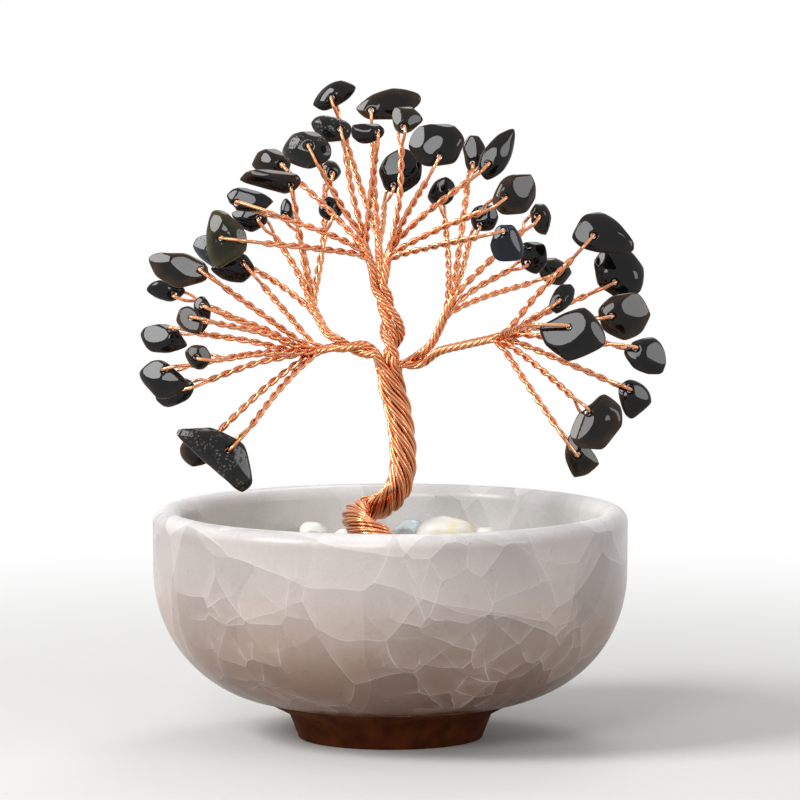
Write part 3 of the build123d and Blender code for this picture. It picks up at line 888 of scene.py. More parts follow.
@dataclass
class Bed:
    """The cast bed, raised in the middle, with loose-looking grit stuck to it."""

    radius: float = 29.85 * MM
    top: float = 25.3 * MM
    mound_height: float = 1.6 * MM
    mound_radius: float = 15.5 * MM
    mound_foot: float = 19.5 * MM
    bottom: float = 20.0 * MM
    lump: float = 0.22 * MM
    grit_count: int = 620
    grit_size: float = 0.85 * MM
    rings: int = 26
    steps: int = 96
    seed: int = 41

    def level(self, out: float) -> float:
        """The bed's height at a distance from the axis."""
        return self.top + self.mound_height * (1 - ramp(out, self.mound_radius, self.mound_foot))

    def build(self) -> bpy.types.Object:
        """Pour the bed and strew its grit.

        Returns:
            The bed's piece.
        """
        outs = [self.radius * step / self.rings for step in range(self.rings + 1)]
        section = [(out, self.level(out)) for out in outs]
        section += [(self.radius, self.bottom), (0.0, self.bottom)]
        bm = lathe(section, self.steps)
        for vert in bm.verts:
            out = math.hypot(vert.co.x, vert.co.y)
            if vert.co.z > self.top - 1 * MM and out < self.radius - 0.5 * MM:
                vert.co.z += (noise.noise(vert.co / (3 * MM)) - 0.4) * self.lump
        chance = random.Random(self.seed)
        golden = math.pi * (3 - math.sqrt(5))
        for index in range(self.grit_count):
            out = (self.radius - 0.8 * MM) * math.sqrt((index + 0.5) / self.grit_count)
            turn = golden * index + chance.uniform(-0.1, 0.1)
            size = self.grit_size * chance.uniform(0.6, 1.25)
            spot = Vector((out * math.cos(turn), out * math.sin(turn), self.level(out) + size * 0.15))
            spin = Matrix.Rotation(chance.uniform(0, math.tau), 4, (chance.random(), chance.random(), 1.0))
            width, height = size * chance.uniform(0.6, 0.9), size * chance.uniform(0.45, 0.7)
            shape = Matrix.Diagonal((size, width, height, 1.0))
            grain = bmesh.ops.create_icosphere(
                bm, subdivisions=1, radius=1.0, matrix=Matrix.Translation(spot) @ spin @ shape
            )
            for face in {face for vert in grain["verts"] for face in vert.link_faces}:
                face.material_index = 1 + index % 2
        finishes = [
            CastBed().material(),
            Pebble("grit_pale", colour(0.72, 0.69, 0.62), colour(0.55, 0.49, 0.40), 0.35).material(),
            Pebble("grit_cool", colour(0.66, 0.70, 0.70), colour(0.45, 0.47, 0.46), 0.25).material(),
        ]
        mesh = close_mesh(bm, "bed_cast", finishes)
        return piece("bed_cast", mesh, "planter", "bed", "bedding")


def stone_place(stone: tuple[Vector, Vector]) -> tuple[float, ...]:
    """Where a stone lies, by which the stones are put in order."""
    return tuple(stone[0])


@dataclass
class Gravel:
    """Tumbled stones on the bed, one for each of a CAD node's."""

    node: str
    slot: str
    finish: Pebble
    seed: int
    swell: float = 1.08

    def stones(self) -> list[tuple[Vector, Vector]]:
        """The middle and the size of each stone of the CAD node.

        Returns:
            A middle and a size for each stone.
        """
        bm = bmesh.new()
        bm.from_mesh(frame["nodes"][self.node].data)
        bmesh.ops.remove_doubles(bm, verts=bm.verts, dist=0.001 * MM)
        waiting, found = set(bm.verts), []
        while waiting:
            island, edge = set(), [waiting.pop()]
            while edge:
                vert = edge.pop()
                island.add(vert)
                for link in vert.link_edges:
                    other = link.other_vert(vert)
                    if other in waiting:
                        waiting.discard(other)
                        edge.append(other)
            low = Vector([min(vert.co[axis] for vert in island) for axis in range(3)])
            high = Vector([max(vert.co[axis] for vert in island) for axis in range(3)])
            found.append(((low + high) / 2, high - low))
        bm.free()
        return found

    def build(self) -> bpy.types.Object:
        """Shape every stone and dress it.

        Returns:
            The piece of all the stones.
        """
        chance = random.Random(self.seed)
        bm = bmesh.new()
        for middle, size in sorted(self.stones(), key=stone_place):
            made = bmesh.ops.create_icosphere(bm, subdivisions=3, radius=0.5)["verts"]
            offset = Vector((chance.random(), chance.random(), chance.random())) * 20
            for vert in made:
                coarse, fine = noise.noise(vert.co * 1.7 + offset), noise.noise(vert.co * 5 + offset)
                bulge = 1 + 0.34 * coarse + 0.10 * fine
                flat = vert.co * bulge * self.swell
                vert.co = middle + Vector((flat.x * size.x, flat.y * size.y, flat.z * size.z))
        mesh = close_mesh(bm, f"{self.node}_stones", [self.finish.material()])
        return piece(f"{self.node}_stones", mesh, "planter", self.slot, self.node)


# The wire tree


TRUNK_ROUTE = [
    (389, 366, 0), (392, 387, 0), (399, 415, 0), (403, 450, 0), (402, 474, 0), (397, 490, 0.005),
    (387, 502, 0.04), (374, 508, 0.083), (361, 511, 0.075), (355, 518, -0.015), (361, 527.5, -0.11),
    (375, 535, -0.147), (384, 541, -0.14),
]
COIL_END = [(390, 549, -0.12), (394, 558, -0.1)]
LEFT_ROUTE = [(376, 354, -0.029), (363, 349, -0.029), (348, 347, -0.026), (335, 343, -0.022)]
RIGHT_ROUTE = [(405, 364, 0.037), (414, 362, 0.044), (424, 357, 0.037)]
CROWN_ROUTE = [(391, 355, 0), (393, 342, 0), (391, 322, 0), (385, 302, 0), (380, 287, 0)]


class Branch(Enum):
    """The seven bundles: place on the trunk's ring, first angle on a fork, and route to the fan."""

    LEFT_LOWER = (180, 180, ((325, 349, -0.029), (313, 352, -0.029), (300, 353, -0.029)))
    LEFT_UPPER = (240, 0, ((327, 333, -0.018), (320, 321, -0.011), (312, 305, -0.007), (309, 294, 0)))
    CROWN_RIGHT = (300, 0, ((386, 270, -0.011), (388, 255, -0.007), (393, 242, 0)))
    RIGHT_LOWER = (0, 0, ((440, 351, 0.015), (464, 345, 0), (490, 339, -0.011), (512, 333, -0.018)))
    RIGHT_UPPER = (60, 180, ((432, 343, 0.029), (440, 327, 0.018), (447, 311, 0.007), (453, 297, 0)))
    CROWN_LEFT = (120, 0, ((372, 268, -0.022), (367, 252, -0.029), (364, 238, -0.029)))
    CROWN_REAR = (None, 0, ((380, 268, 0.048), (379, 252, 0.073), (378, 238, 0.092)))

    @property
    def key(self) -> str:
        """The bundle's name in the CAD."""
        return self.name.lower()


@dataclass
class Eye:
    """The drilled hole of a chip and how far the chip comes from it, read from its CAD node."""

    name: str
    middle: Vector
    normal: Vector
    thickness: float
    tree: BVHTree

    @classmethod
    def of_joint(cls, joint: dict) -> "Eye":
        """Read a chip's hole from its joint and its node.

        Args:
            joint: The chip's hinge in the frame.
        Returns:
            The hole.
        """
        mesh = frame["nodes"][joint["child"]].data
        middle, normal = Vector(joint["pos_m"]), Vector(joint["axis"]).normalized()
        depths = [(vert.co - middle).dot(normal) for vert in mesh.vertices]
        bm = bmesh.new()
        bm.from_mesh(mesh)
        tree = BVHTree.FromBMesh(bm)
        bm.free()
        return cls(joint["child"].removeprefix("chip_"), middle, normal, max(depths) - min(depths), tree)

    def across(self, offset: Vector) -> Vector:
        """The part of an offset that is square to the hole."""
        return offset - self.normal * offset.dot(self.normal)

    def reach(self, towards: Vector, swing: float = 16.0) -> float:
        """How far the chip's edge comes in a direction, anywhere in its swing.

        Args:
            towards: The direction, square to the hole.
            swing: The swing each way, in degrees.
        Returns:
            The distance from the hole's middle.
        """
        far = 30 * MM
        found = 0.0
        for step in range(-6, 7):
            way = Matrix.Rotation(math.radians(swing * step / 6), 3, self.normal) @ towards
            hit = self.tree.ray_cast(self.middle + way * far, -way, far)
            if hit[0] is not None:
                found = max(found, far - hit[3])
        return found


@dataclass
class WireTree:
    """Copper wires, two from each chip, gathered into bundles and wound into a trunk."""

    view: ViewMap
    eyes: list[Eye]
    wire: float = 0.245 * MM
    strand: float = 0.24 * MM
    strands: int = 5
    strand_ring: float = 0.40 * MM
    spacing: float = 1.26 * MM
    pitch: float = 18.4 * MM
    lay_steps: int = 12
    fork_steps: int = 8
    crown_steps: int = 10
    left_turn: float = 270
    right_turn: float = -90
    crown_turn: float = -315
    crown_closing: float = 30
    rear_angle: float = 30
    bundle_pitch: float = 5.0 * MM
    trunk_strand_pitch: float = 20.0 * MM
    pair_pitch: float = 3.9 * MM
    pair_offset: float = 0.258 * MM
    twig_step: float = 0.7 * MM
    fan_length: float = 2.8 * MM
    clearance: float = 0.28 * MM
    neck: float = 0.9 * MM
    corner: float = 0.35 * MM
    edge: float = 0.15 * MM
    bow_share: float = 0.03
    hidden_length: float = 4.0 * MM
    hidden_bend: float = 1.6 * MM
    leave: float = 1.3 * MM
    fine_step: float = 0.3 * MM
    eye_step: float = 0.22 * MM
    lay_change: tuple[float, float] = (4.0 * MM, 6.0 * MM)
    thin_length: float = 2.4 * MM

    def route(self, spots: Iterable[tuple[float, float, float]]) -> list[Vector]:
        """View places as points."""
        return [self.view.place(*spot) for spot in spots]

    def even(self, spots: Iterable[tuple[float, float, float]], steps: int) -> list[Vector]:
        """A smooth line through view places, in a number of even steps.

        Args:
            spots: Pixels across and down, with depth shares.
            steps: Number of steps.
        Returns:
            The line's points.
        """
        points = self.route(spots)
        length = sum((b - a).length for a, b in zip(points, points[1:]))
        fine = smooth_line(points, length / 400)
        return [fine[round((len(fine) - 1) * step / steps)] for step in range(steps + 1)]

    @property
    def ring(self) -> float:
        """Distance of the outer bundles' middles from the trunk's."""
        lay = math.atan(math.tau * self.spacing / self.pitch)
        return self.spacing / 2 * math.sqrt(1 + 3 / math.cos(lay) ** 2)

    def trunk(self, branch: Branch) -> list[Vector]:
        """A bundle's points from the coil's end up to the trunk's fork.

        Args:
            branch: The bundle.
        Returns:
            Its points, from the bottom up.
        """
        points = self.route(TRUNK_ROUTE + COIL_END)
        length = sum((b - a).length for a, b in zip(points, points[1:])) * 1.03
        line = self.even(TRUNK_ROUTE + COIL_END, round(length / self.pitch * self.lay_steps))
        angle = branch.value[0]
        if angle is None:
            return line[::-1]
        turns = [angle + 360 / self.lay_steps * index for index in range(len(line))]
        return wind(line, Vector((1, 0, 0)), [self.ring] * len(line), turns)[::-1]

    def fork(self, spots: list, first: float, turn: float) -> list[Vector]:
        """One of two bundles that wind about each other along a fork.

        Args:
            spots: The fork's route in the view.
            first: The bundle's first angle, in degrees.
            turn: How far it winds, in degrees.
        Returns:
            The bundle's points.
        """
        line = self.even(spots, self.fork_steps)
        turns = [first + turn * index / self.fork_steps for index in range(len(line))]
        return wind(line, Vector((0, -1, 0)), [self.spacing / 2] * len(line), turns)

    def crown(self, branch: Branch) -> list[Vector]:
        """One of the crown's three bundles, which close up into a triangle as they rise.

        Args:
            branch: The bundle.
        Returns:
            The bundle's points.
        """
        line = self.even(CROWN_ROUTE, self.crown_steps)
        closed_ring = self.spacing / math.sqrt(3)
        radii, turns = [], []
        for index in range(len(line)):
            share = index / self.crown_steps
            closed = ramp(share, 0.3, 0.7)
            turn = self.crown_turn * share
            if branch is Branch.CROWN_REAR:
                radii.append(closed_ring * ramp(share, 0.15, 0.5))
                turns.append(self.rear_angle + turn)
            else:
                shift = self.crown_closing * closed
                radii.append(self.ring + (closed_ring - self.ring) * closed)
                turns.append(branch.value[0] + turn + (shift if branch is Branch.CROWN_LEFT else -shift))
        return wind(line, Vector((1, 0, 0)), radii, [-turn for turn in turns])

    def middle(self, branch: Branch) -> list[Vector]:
        """A bundle's points between the trunk's fork and where it parts from its neighbours.

        Args:
            branch: The bundle.
        Returns:
            The bundle's points.
        """
        if branch in (Branch.LEFT_LOWER, Branch.LEFT_UPPER):
            return self.fork(LEFT_ROUTE, branch.value[1], self.left_turn)
        if branch in (Branch.RIGHT_LOWER, Branch.RIGHT_UPPER):
            return self.fork(RIGHT_ROUTE, branch.value[1], self.right_turn)
        return self.crown(branch)

    def bundle(self, branch: Branch) -> tuple[list[Vector], float]:
        """A bundle's fine middle line and the length of its stretch in the trunk.

        Args:
            branch: The bundle.
        Returns:
            The line and the length.
        """
        trunk = self.trunk(branch)
        length = sum((b - a).length for a, b in zip(trunk, trunk[1:]))
        spots = trunk + self.middle(branch) + self.route(branch.value[2])
        return smooth_line(spots, self.fine_step), length

    def rope(self, wires: WireMesh, line: list[Vector], trunk_length: float) -> None:
        """Lay a bundle's strands round its middle line.

        Args:
            wires: Where the strands go.
            line: The middle line.
            trunk_length: Length of the line's stretch in the trunk.
        """
        step = (line[1] - line[0]).length
        total = step * len(line)
        turn, turns, rings, shares = 0.0, [], [], []
        for index in range(len(line)):
            along = index * step
            on_branch = ramp(along, trunk_length - self.lay_change[0], trunk_length + self.lay_change[1])
            rate = 360 / self.trunk_strand_pitch * (1 - on_branch) + 360 / self.bundle_pitch * on_branch
            turn += rate * step
            turns.append(turn)
            end = 1 - ramp(along, total - self.thin_length, total)
            rings.append(self.strand_ring * (0.35 + 0.65 * end))
            shares.append(0.8 + 0.2 * end)
        for strand in range(self.strands):
            angles = [angle + 360 * strand / self.strands for angle in turns]
            wires.run(wind(line, Vector((0.3, 1, 0.2)), rings, angles), shares)
        wires.run(line, [0.95 * share for share in shares])

    def twig(self, eye: Eye, line: list[Vector], back: float) -> list[Vector]:
        """One wire: out of a bundle as a twisted pair, through a chip's eye and back again.

        Args:
            eye: The chip's hole.
            line: The bundle's middle line.
            back: How far from the bundle's end the wire leaves it.
        Returns:
            The wire's points.
        """
        root, deep = back_along(line, back), back_along(line, back + self.hidden_length)
        towards = eye.across(root - eye.middle).normalized()
        lift = eye.thickness / 2 + self.clearance + self.wire
        edge = eye.reach(towards) + self.edge
        neck = eye.middle + towards * (edge + max(self.neck, lift - self.pair_offset))
        stem = (neck - root).normalized()
        length = (neck - root).length
        chance = random.Random(eye.name)
        sag = Vector((chance.uniform(-1, 1), chance.uniform(-1, 1), chance.uniform(0.2, 1.2)))
        bow = root.lerp(neck, 0.5) + (sag - stem * sag.dot(stem)) * length * self.bow_share
        bend, out = back_along(line, back + self.hidden_bend), root + stem * self.leave
        core = smooth_line([deep, bend, out, bow, neck], self.fine_step)
        core[-1] = neck
        apart = (eye.normal - stem * eye.normal.dot(stem)).normalized()
        legs = self.pair(core, apart)
        over = [
            eye.middle + towards * (edge + 0.2 * MM) + eye.normal * lift * 0.97,
            eye.middle + towards * (edge * 0.55) + eye.normal * lift,
            eye.middle + towards * (self.corner * 1.4) + eye.normal * lift,
            eye.middle + eye.normal * (lift - self.corner * 1.4),
        ]
        under = [point - eye.normal * (2 * eye.normal.dot(point - eye.middle)) for point in reversed(over)]
        loop = smooth_line([legs[0][-1]] + over + under + [legs[1][-1]], self.eye_step)
        return legs[0][:-1] + loop + legs[1][-2::-1]

    def pair(self, core: list[Vector], apart: Vector) -> tuple[list[Vector], list[Vector]]:
        """Two wires twisted about a line, which end side by side in a direction.

        Args:
            core: The line.
            apart: The direction.
        Returns:
            The points of both wires.
        """
        backwards = core[::-1]
        step = (core[1] - core[0]).length
        turns = [360 * index * step / self.pair_pitch for index in range(len(core))]
        offsets = [self.pair_offset] * len(core)
        first = wind(backwards, apart, offsets, turns)
        second = wind(backwards, apart, offsets, [turn + 180 for turn in turns])
        return first[::-1], second[::-1]

    def build(self) -> list[bpy.types.Object]:
        """Twist every bundle and twig and dress them in copper.

        Returns:
            The wire pieces.
        """
        copper = Copper().material()
        groups = {"left_twigs": [], "crown_twigs": [], "right_twigs": []}
        made = []
        for branch in Branch:
            line, trunk_length = self.bundle(branch)
            wires = WireMesh(f"{branch.key}_rope", self.strand, 3)
            self.rope(wires, line, trunk_length)
            made.append(piece(wires.name, wires.mesh(copper), "planter", "copper", f"{branch.key}_bundle"))
            along = (line[-1] - line[-4]).normalized()
            own = [eye for eye in self.eyes if eye.name.rsplit("_", 1)[0] == branch.key]
            turned = [-(eye.middle - line[-1]).normalized().dot(along) for eye in own]
            order = sorted(range(len(own)), key=turned.__getitem__)
            step = min(self.twig_step, self.fan_length / (len(own) - 1))
            group = groups[f"{branch.key.split('_')[0]}_twigs"]
            group += [self.twig(own[place], line, step * index) for index, place in enumerate(order)]
        for node, lines in groups.items():
            wires = WireMesh(f"{node}_twisted", self.wire, 2)
            for line in lines:
                wires.run(line)
            made.append(piece(wires.name, wires.mesh(copper), "planter", "copper", node))
        return made


# The chips


class Facing(Enum):
    """Ways in which the chips' polished facets look; the back has the same, turned about."""

    FRONT = (-0.12, -0.957, 0.264)
    LEFT = (-0.404, -0.836, 0.376)
    RIGHT = (0.50, -0.84, 0.21)
    TOP = (0.16, -0.405, 0.90)


FacetList = tuple[tuple[Facing, float], ...]


@dataclass
class Chips:
    """Tumbled obsidian chips, worn down from their CAD slabs."""

    joints: list[dict]
    eyes: dict[str, Eye]
    voxel: float = 0.21
    corners: int = 6
    hole_margin: float = 1.1
    hole_rounds: int = 3
    rounds: int = 60
    lump: float = 0.15
    lump_size: float = 2.6
    dimple: float = 0.16
    dome: float = 0.42
    hole_close: float = 0.14
    regain: float = 1.09
    facet_sway: float = 0.035
    facet_rounds: int = 2
    outer_from: float = 0.95
    lump_zone: tuple[float, float] = (0.7, 1.6)
    dimple_zone: tuple[float, float] = (0.6, 1.5)
    bore_zone: float = 0.9
    looks: dict[str, ChipLook] = field(default_factory=dict)
    polished: dict[str, FacetList] = field(default_factory=dict)

    def facets(self, bm: bmesh.types.BMesh, eye: Eye, chance: random.Random) -> None:
        """Grind a slanted facet on each face of a chip, away from its hole, and take its corners off.

        Args:
            bm: The chip.
            eye: Its hole.
            chance: Where the slants come from.
        """
        middle = sum((vert.co for vert in bm.verts), Vector()) / len(bm.verts)
        out = eye.across(middle - eye.middle).normalized()
        for face_side in (1, -1):
            way = Matrix.Rotation(math.radians(chance.uniform(-55, 55)), 3, eye.normal) @ out
            slant = math.radians(chance.uniform(8, 22))
            hinge = eye.middle + way * chance.uniform(1.0, 1.9) * MM
            hinge += eye.normal * face_side * eye.thickness / 2
            self.grind(bm, hinge, eye.normal * face_side * math.cos(slant) + way * math.sin(slant))
        for corner in range(self.corners):
            turn = math.radians(360 * (corner + chance.random()) / self.corners)
            way = Matrix.Rotation(turn, 3, eye.normal) @ out
            face_side = 1 if corner % 2 else -1
            slant = math.radians(chance.uniform(38, 62))
            plane = eye.normal * face_side * math.cos(slant) + way * math.sin(slant)
            far = max((vert.co - eye.middle).dot(plane) for vert in bm.verts)
            near = (way * self.hole_margin * MM + eye.normal * face_side * eye.thickness / 2).dot(plane)
            depth = max(far - chance.uniform(0.35, 0.9) * MM, near)
            self.grind(bm, eye.middle + plane.normalized() * depth, plane)

    def grind(self, bm: bmesh.types.BMesh, place: Vector, plane: Vector) -> None:
        """Cut a chip flat at a plane.

        Args:
            bm: The chip.
            place: A point of the plane.
            plane: The plane's outward direction.
        """
        cut = bmesh.ops.bisect_plane(
            bm, geom=bm.verts[:] + bm.edges[:] + bm.faces[:], dist=0.0001 * MM,
            plane_co=place, plane_no=plane, clear_outer=True,
        )
        edges = [item for item in cut["geom_cut"] if isinstance(item, bmesh.types.BMEdge)]
        if edges:
            bmesh.ops.edgeloop_fill(bm, edges=edges)
            bmesh.ops.remove_doubles(bm, verts=bm.verts, dist=0.001 * MM)

    def worn(self, bm: bmesh.types.BMesh, name: str) -> bmesh.types.BMesh:
        """Remesh a chip finely, so that it can be worn smooth.

        Args:
            bm: The chip, which is freed.
            name: Its name.
        Returns:
            The fine shape, in millimetres.
        """
        bmesh.ops.scale(bm, vec=Vector((1, 1, 1)) / MM, verts=bm.verts)
        mesh = bpy.data.meshes.new(name)
        bm.to_mesh(mesh)
        bm.free()
        holder = bpy.data.objects.new(name, mesh)
        bpy.context.scene.collection.objects.link(holder)
        remesh = holder.modifiers.new("remesh", "REMESH")
        remesh.mode = "VOXEL"
        remesh.voxel_size = self.voxel
        graph = bpy.context.evaluated_depsgraph_get()
        rough = bpy.data.meshes.new_from_object(holder.evaluated_get(graph))
        bpy.data.objects.remove(holder)
        bpy.data.meshes.remove(mesh)
        made = bmesh.new()
        made.from_mesh(rough)
        bpy.data.meshes.remove(rough)
        return made

    def tumble(self, bm: bmesh.types.BMesh, eye: Eye, offset: Vector) -> None:
        """Wear a chip's edges round, with a dimple about its hole and shallow lumps.

        Args:
            bm: The chip, in millimetres.
            eye: Its hole.
            offset: Where its lumps are read from the noise.
        """
        middle = eye.middle / MM
        spans = {vert: eye.across(vert.co - middle) for vert in bm.verts}
        outer = [vert for vert, span in spans.items() if span.length > self.outer_from]
        shares = self.rim_shares([vert.co for vert in bm.verts], eye)
        for vert, share in zip(bm.verts, shares):
            vert.co -= eye.normal * (vert.co - middle).dot(eye.normal) * self.dome * share**2
        for count in range(self.rounds):
            smooth(bm, bm.verts if count < self.hole_rounds else outer, 0.5)
        for vert in outer:
            vert.co += eye.across(vert.co - middle) * (self.regain - 1)
        bm.normal_update()
        for vert, span in spans.items():
            lump = noise.noise(vert.co / self.lump_size + offset) - 0.4
            lump *= ramp(span.length, *self.lump_zone)
            facing = abs(vert.normal.dot(eye.normal))
            sink = self.dimple * facing * (1 - ramp(span.length, *self.dimple_zone))
            vert.co += vert.normal * (lump * self.lump - sink)
            if span.length < self.bore_zone and facing < 0.6:
                vert.co -= span.normalized() * self.hole_close

    def choose(self, node: str, chance: random.Random) -> FacetList:
        """The polished facets of a chip, each with its depth in millimetres.

        Args:
            node: The chip's node.
            chance: Where the usual depths come from.
        Returns:
            The facets.
        """
        usual = ((Facing.FRONT, 0.36), (Facing.LEFT, 0.30), (Facing.RIGHT, 0.30), (Facing.TOP, 0.45))
        drawn = tuple((facing, depth * chance.uniform(-0.35, 1.0)) for facing, depth in usual)
        return self.polished.get(node, drawn)

    def polish(self, bm: bmesh.types.BMesh, facets: FacetList, chance: random.Random) -> None:
        """Grind a chip's facets flat and soften their borders.

        Args:
            bm: The chip, in millimetres.
            facets: The way and the depth of each facet.
            chance: Where each facet's small sway comes from.
        """
        for facing, depth in facets:
            for side in (1, -1):
                sway = Vector([chance.uniform(-self.facet_sway, self.facet_sway) for _ in range(3)])
                way = (Vector(facing.value) * Vector((side, side, 1)) + sway).normalized()
                top = max(vert.co.dot(way) for vert in bm.verts) - max(depth, 0.0)
                for vert in bm.verts:
                    vert.co -= way * max(vert.co.dot(way) - top, 0.0)
        for _ in range(self.facet_rounds):
            smooth(bm, bm.verts, 0.4)

    def rim_shares(self, places: list[Vector], eye: Eye) -> list[float]:
        """How far out each place of a chip lies, from 0 in its middle to 1 at its outline.

        Args:
            places: The places.
            eye: The chip's hole.
        Returns:
            A share for each place.
        """
        side, across = frames([eye.middle, eye.middle + eye.normal], Vector((0.2, 0.1, 1)))[0]
        middle = sum(places, Vector()) / len(places)
        flat = [((place - middle).dot(side), (place - middle).dot(across)) for place in places]
        bins = 32
        widest = [1e-9] * bins
        slots = [int((math.atan2(b, a) / math.tau + 1) * bins) % bins for a, b in flat]
        for slot, (a, b) in zip(slots, flat):
            widest[slot] = max(widest[slot], math.hypot(a, b))
        return [math.hypot(a, b) / widest[slot] for slot, (a, b) in zip(slots, flat)]

    def thinness(self, mesh: bpy.types.Mesh, eye: Eye) -> None:
        """Store how near each point is to the chip's thin outer edge.

        Args:
            mesh: The chip's mesh.
            eye: Its hole.
        """
        shares = self.rim_shares([vert.co for vert in mesh.vertices], eye)
        values = [ramp(share, 0.55, 1.0) for share in shares]
        mesh.attributes.new("thin", "FLOAT", "POINT").data.foreach_set("value", values)

    def build(self) -> list[bpy.types.Object]:
        """Wear every chip down and polish it.

        Returns:
            The chips' pieces.
        """
        finishes = {look: Obsidian(look).material() for look in ChipLook}
        usual = (ChipLook.JET, ChipLook.SMOKY, ChipLook.JET, ChipLook.JET, ChipLook.SMOKY)
        made = []
        for index, joint in enumerate(self.joints):
            node = joint["child"]
            eye = self.eyes[node]
            chance = random.Random(node)
            bm = bmesh.new()
            bm.from_mesh(frame["nodes"][node].data)
            bmesh.ops.remove_doubles(bm, verts=bm.verts, dist=0.001 * MM)
            self.facets(bm, eye, chance)
            chip = self.worn(bm, node)
            offset = Vector((chance.random(), chance.random(), chance.random())) * 50
            self.tumble(chip, eye, offset)
            self.polish(chip, self.choose(node, chance), chance)
            bmesh.ops.scale(chip, vec=Vector((MM, MM, MM)), verts=chip.verts)
            look = self.looks.get(node, usual[index % len(usual)])
            mesh = close_mesh(chip, f"{node}_polished", [finishes[look]])
            self.thinness(mesh, eye)
            made.append(piece(f"{node}_polished", mesh, node, "obsidian", node))
        return made


# The studio


@dataclass
class Studio:
    """A pale floor, soft panels of light, a white surround and the camera."""

    view: ViewMap
    floor_size: float = 0.6
    floor_fade: tuple[float, float] = (70.0, 240.0)
    sensor: float = 36.0

    def panel(self, name: str, place: tuple, aim: tuple, size: float, power: float) -> None:
        """A square panel of soft light.

        Args:
            name: The lamp's name.
            place: Where it hangs.
            aim: The point that it faces.
            size: Length of its sides.
            power: Its power, in watts.
        """
        lamp = bpy.data.lights.new(name, "AREA")
        lamp.shape = "SQUARE"
        lamp.size = size
        lamp.energy = power
        holder = bpy.data.objects.new(name, lamp)
        holder.location = place
        holder.rotation_euler = (Vector(aim) - Vector(place)).to_track_quat("-Z", "Y").to_euler()
        bpy.context.scene.collection.objects.link(holder)

    def surround(self) -> None:
        """A world that is white to the eye and in reflections, and soft elsewhere."""
        nodes = Nodes(bpy.data.worlds.new("surround"))
        soft = nodes.add("ShaderNodeBackground", None, {"Color": colour(0.95, 0.97, 1.0), "Strength": 0.33})
        white = nodes.add("ShaderNodeBackground", None, {"Color": colour(1.0, 1.0, 1.0), "Strength": 1.0})
        both = nodes.add("ShaderNodeMixShader", None, {0: nodes.seen(), 1: soft, 2: white})
        bpy.context.scene.world = nodes.finish(both)

    def floor(self) -> None:
        """A plain pale floor that runs out into the white surround."""
        nodes = Nodes.named("floor_pale")
        here = nodes.place()
        grain = nodes.noise(here, 1.4, 3.0)
        pale = nodes.principled(
            Base_Color=nodes.mix(grain, colour(0.80, 0.79, 0.77), colour(0.84, 0.83, 0.81)), Roughness=0.75
        )
        white = nodes.add("ShaderNodeEmission", None, {"Color": colour(1.0, 1.0, 1.0), "Strength": 1.0})
        fade = nodes.radius(here).rise(*self.floor_fade) * nodes.seen()
        finish = nodes.finish(nodes.add("ShaderNodeMixShader", None, {0: fade, 1: pale, 2: white}))
        bm = bmesh.new()
        bmesh.ops.create_grid(bm, x_segments=8, y_segments=8, size=self.floor_size)
        floor = bpy.data.objects.new("floor", close_mesh(bm, "floor", [finish]))
        bpy.context.scene.collection.objects.link(floor)

    def camera(self) -> None:
        """The camera of the reference view."""
        lens = bpy.data.cameras.new("camera")
        lens.sensor_width = self.sensor
        lens.lens = self.sensor * self.view.focal_px / (2 * self.view.centre_px)
        lens.clip_start = 0.01
        holder = bpy.data.objects.new("camera", lens)
        holder.location = self.view.eye
        holder.rotation_euler = (math.pi / 2 - self.view.tilt, 0, 0)
        bpy.context.scene.collection.objects.link(holder)
        bpy.context.scene.camera = holder

    def build(self) -> None:
        """Set the scene."""
        self.camera()
        self.floor()
        self.surround()
        middle = (0.0, 0.0, 0.05)
        self.panel("key_left", (-0.52, -0.30, 0.46), middle, 0.28, 4.2)
        self.panel("front_soft", (-0.20, -0.76, 0.40), middle, 0.225, 1.9)
        self.panel("fill_right", (0.55, -0.28, 0.22), middle, 0.14, 0.45)
        self.panel("top_back", (0.10, 0.38, 0.55), middle, 0.22, 0.6)
        bpy.context.scene.view_settings.view_transform = "Standard"


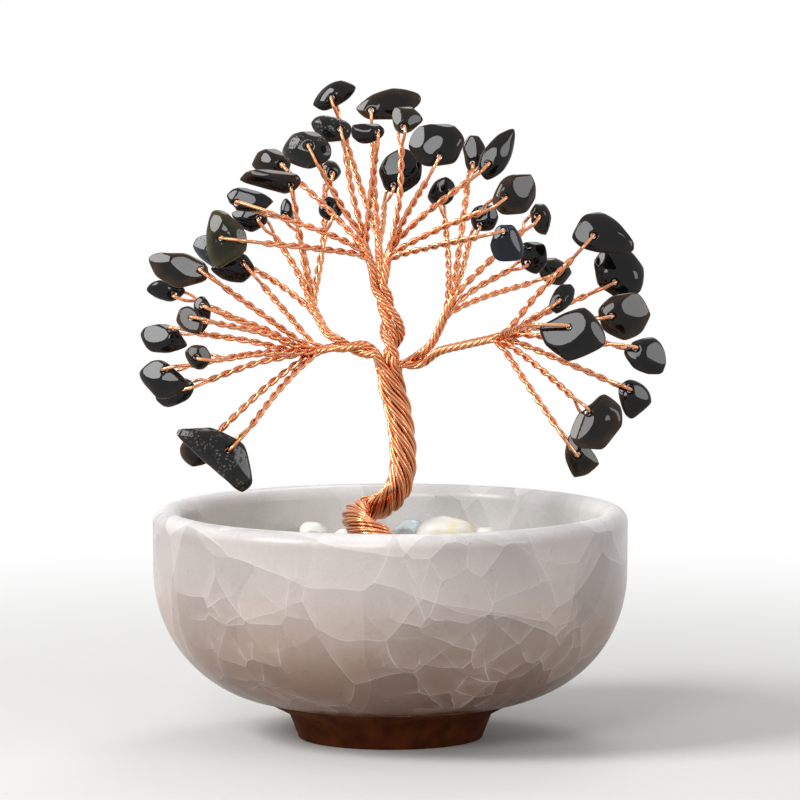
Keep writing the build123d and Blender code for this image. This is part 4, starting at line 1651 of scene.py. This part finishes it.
CHIP_FACETS: dict[str, FacetList] = {
    "chip_left_lower_4": ((Facing.LEFT, 0.35), (Facing.FRONT, 0.2)),
    "chip_left_lower_5": ((Facing.FRONT, 0.3), (Facing.RIGHT, 0.3)),
    "chip_left_lower_6": ((Facing.LEFT, 0.4), (Facing.TOP, 0.4)),
    "chip_left_lower_7": ((Facing.FRONT, 0.55),),
    "chip_left_lower_10": ((Facing.FRONT, 0.45), (Facing.LEFT, 0.25)),
    "chip_left_upper_1": ((Facing.FRONT, 0.45), (Facing.LEFT, 0.3)),
    "chip_crown_left_6": ((Facing.TOP, 0.55), (Facing.FRONT, 0.3)),
    "chip_crown_right_2": ((Facing.TOP, 0.5), (Facing.LEFT, 0.3), (Facing.FRONT, 0.2)),
    "chip_crown_right_4": ((Facing.RIGHT, 0.45), (Facing.TOP, 0.5)),
    "chip_right_lower_3": ((Facing.RIGHT, 0.45), (Facing.FRONT, 0.15)),
    "chip_right_lower_4": ((Facing.FRONT, 0.4), (Facing.TOP, 0.3)),
    "chip_right_lower_5": ((Facing.FRONT, 0.55), (Facing.RIGHT, 0.2)),
    "chip_right_lower_6": ((Facing.FRONT, 0.35), (Facing.RIGHT, 0.3)),
    "chip_right_lower_8": ((Facing.LEFT, 0.35), (Facing.FRONT, 0.25)),
}
CHIP_LOOKS = {
    "chip_left_lower_1": ChipLook.PITTED,
    "chip_crown_left_4": ChipLook.PITTED,
    "chip_crown_left_5": ChipLook.PITTED,
    "chip_crown_left_1": ChipLook.OLIVE,
    "chip_crown_right_1": ChipLook.OLIVE,
    "chip_crown_right_5": ChipLook.BLUE,
    "chip_right_lower_5": ChipLook.JET,
    "chip_right_lower_9": ChipLook.SMOKY,
    "chip_left_upper_1": ChipLook.PALE,
}


def main() -> None:
    """Build every piece of the ornament in order."""
    logging.basicConfig(level=logging.INFO, format="%(message)s")
    view = ViewMap()
    Studio(view).build()
    Bowl().build()
    Bed().build()
    white = Pebble("white_stone", colour(0.90, 0.885, 0.84), colour(0.88, 0.80, 0.52), 0.25)
    clear = Pebble("clear_stone", colour(0.78, 0.86, 0.88), colour(0.62, 0.74, 0.78), 0.08, 0.35)
    Gravel("white_gravel", "white_stone", white, 7).build()
    Gravel("clear_gravel", "clear_stone", clear, 11).build()
    joints = [joint for joint in frame["joints"] if joint["child"].startswith("chip_")]
    eyes = {joint["child"]: Eye.of_joint(joint) for joint in joints}
    WireTree(view, list(eyes.values())).build()
    Chips(joints, eyes, looks=CHIP_LOOKS, polished=CHIP_FACETS).build()


if __name__ == "__main__":
    main()
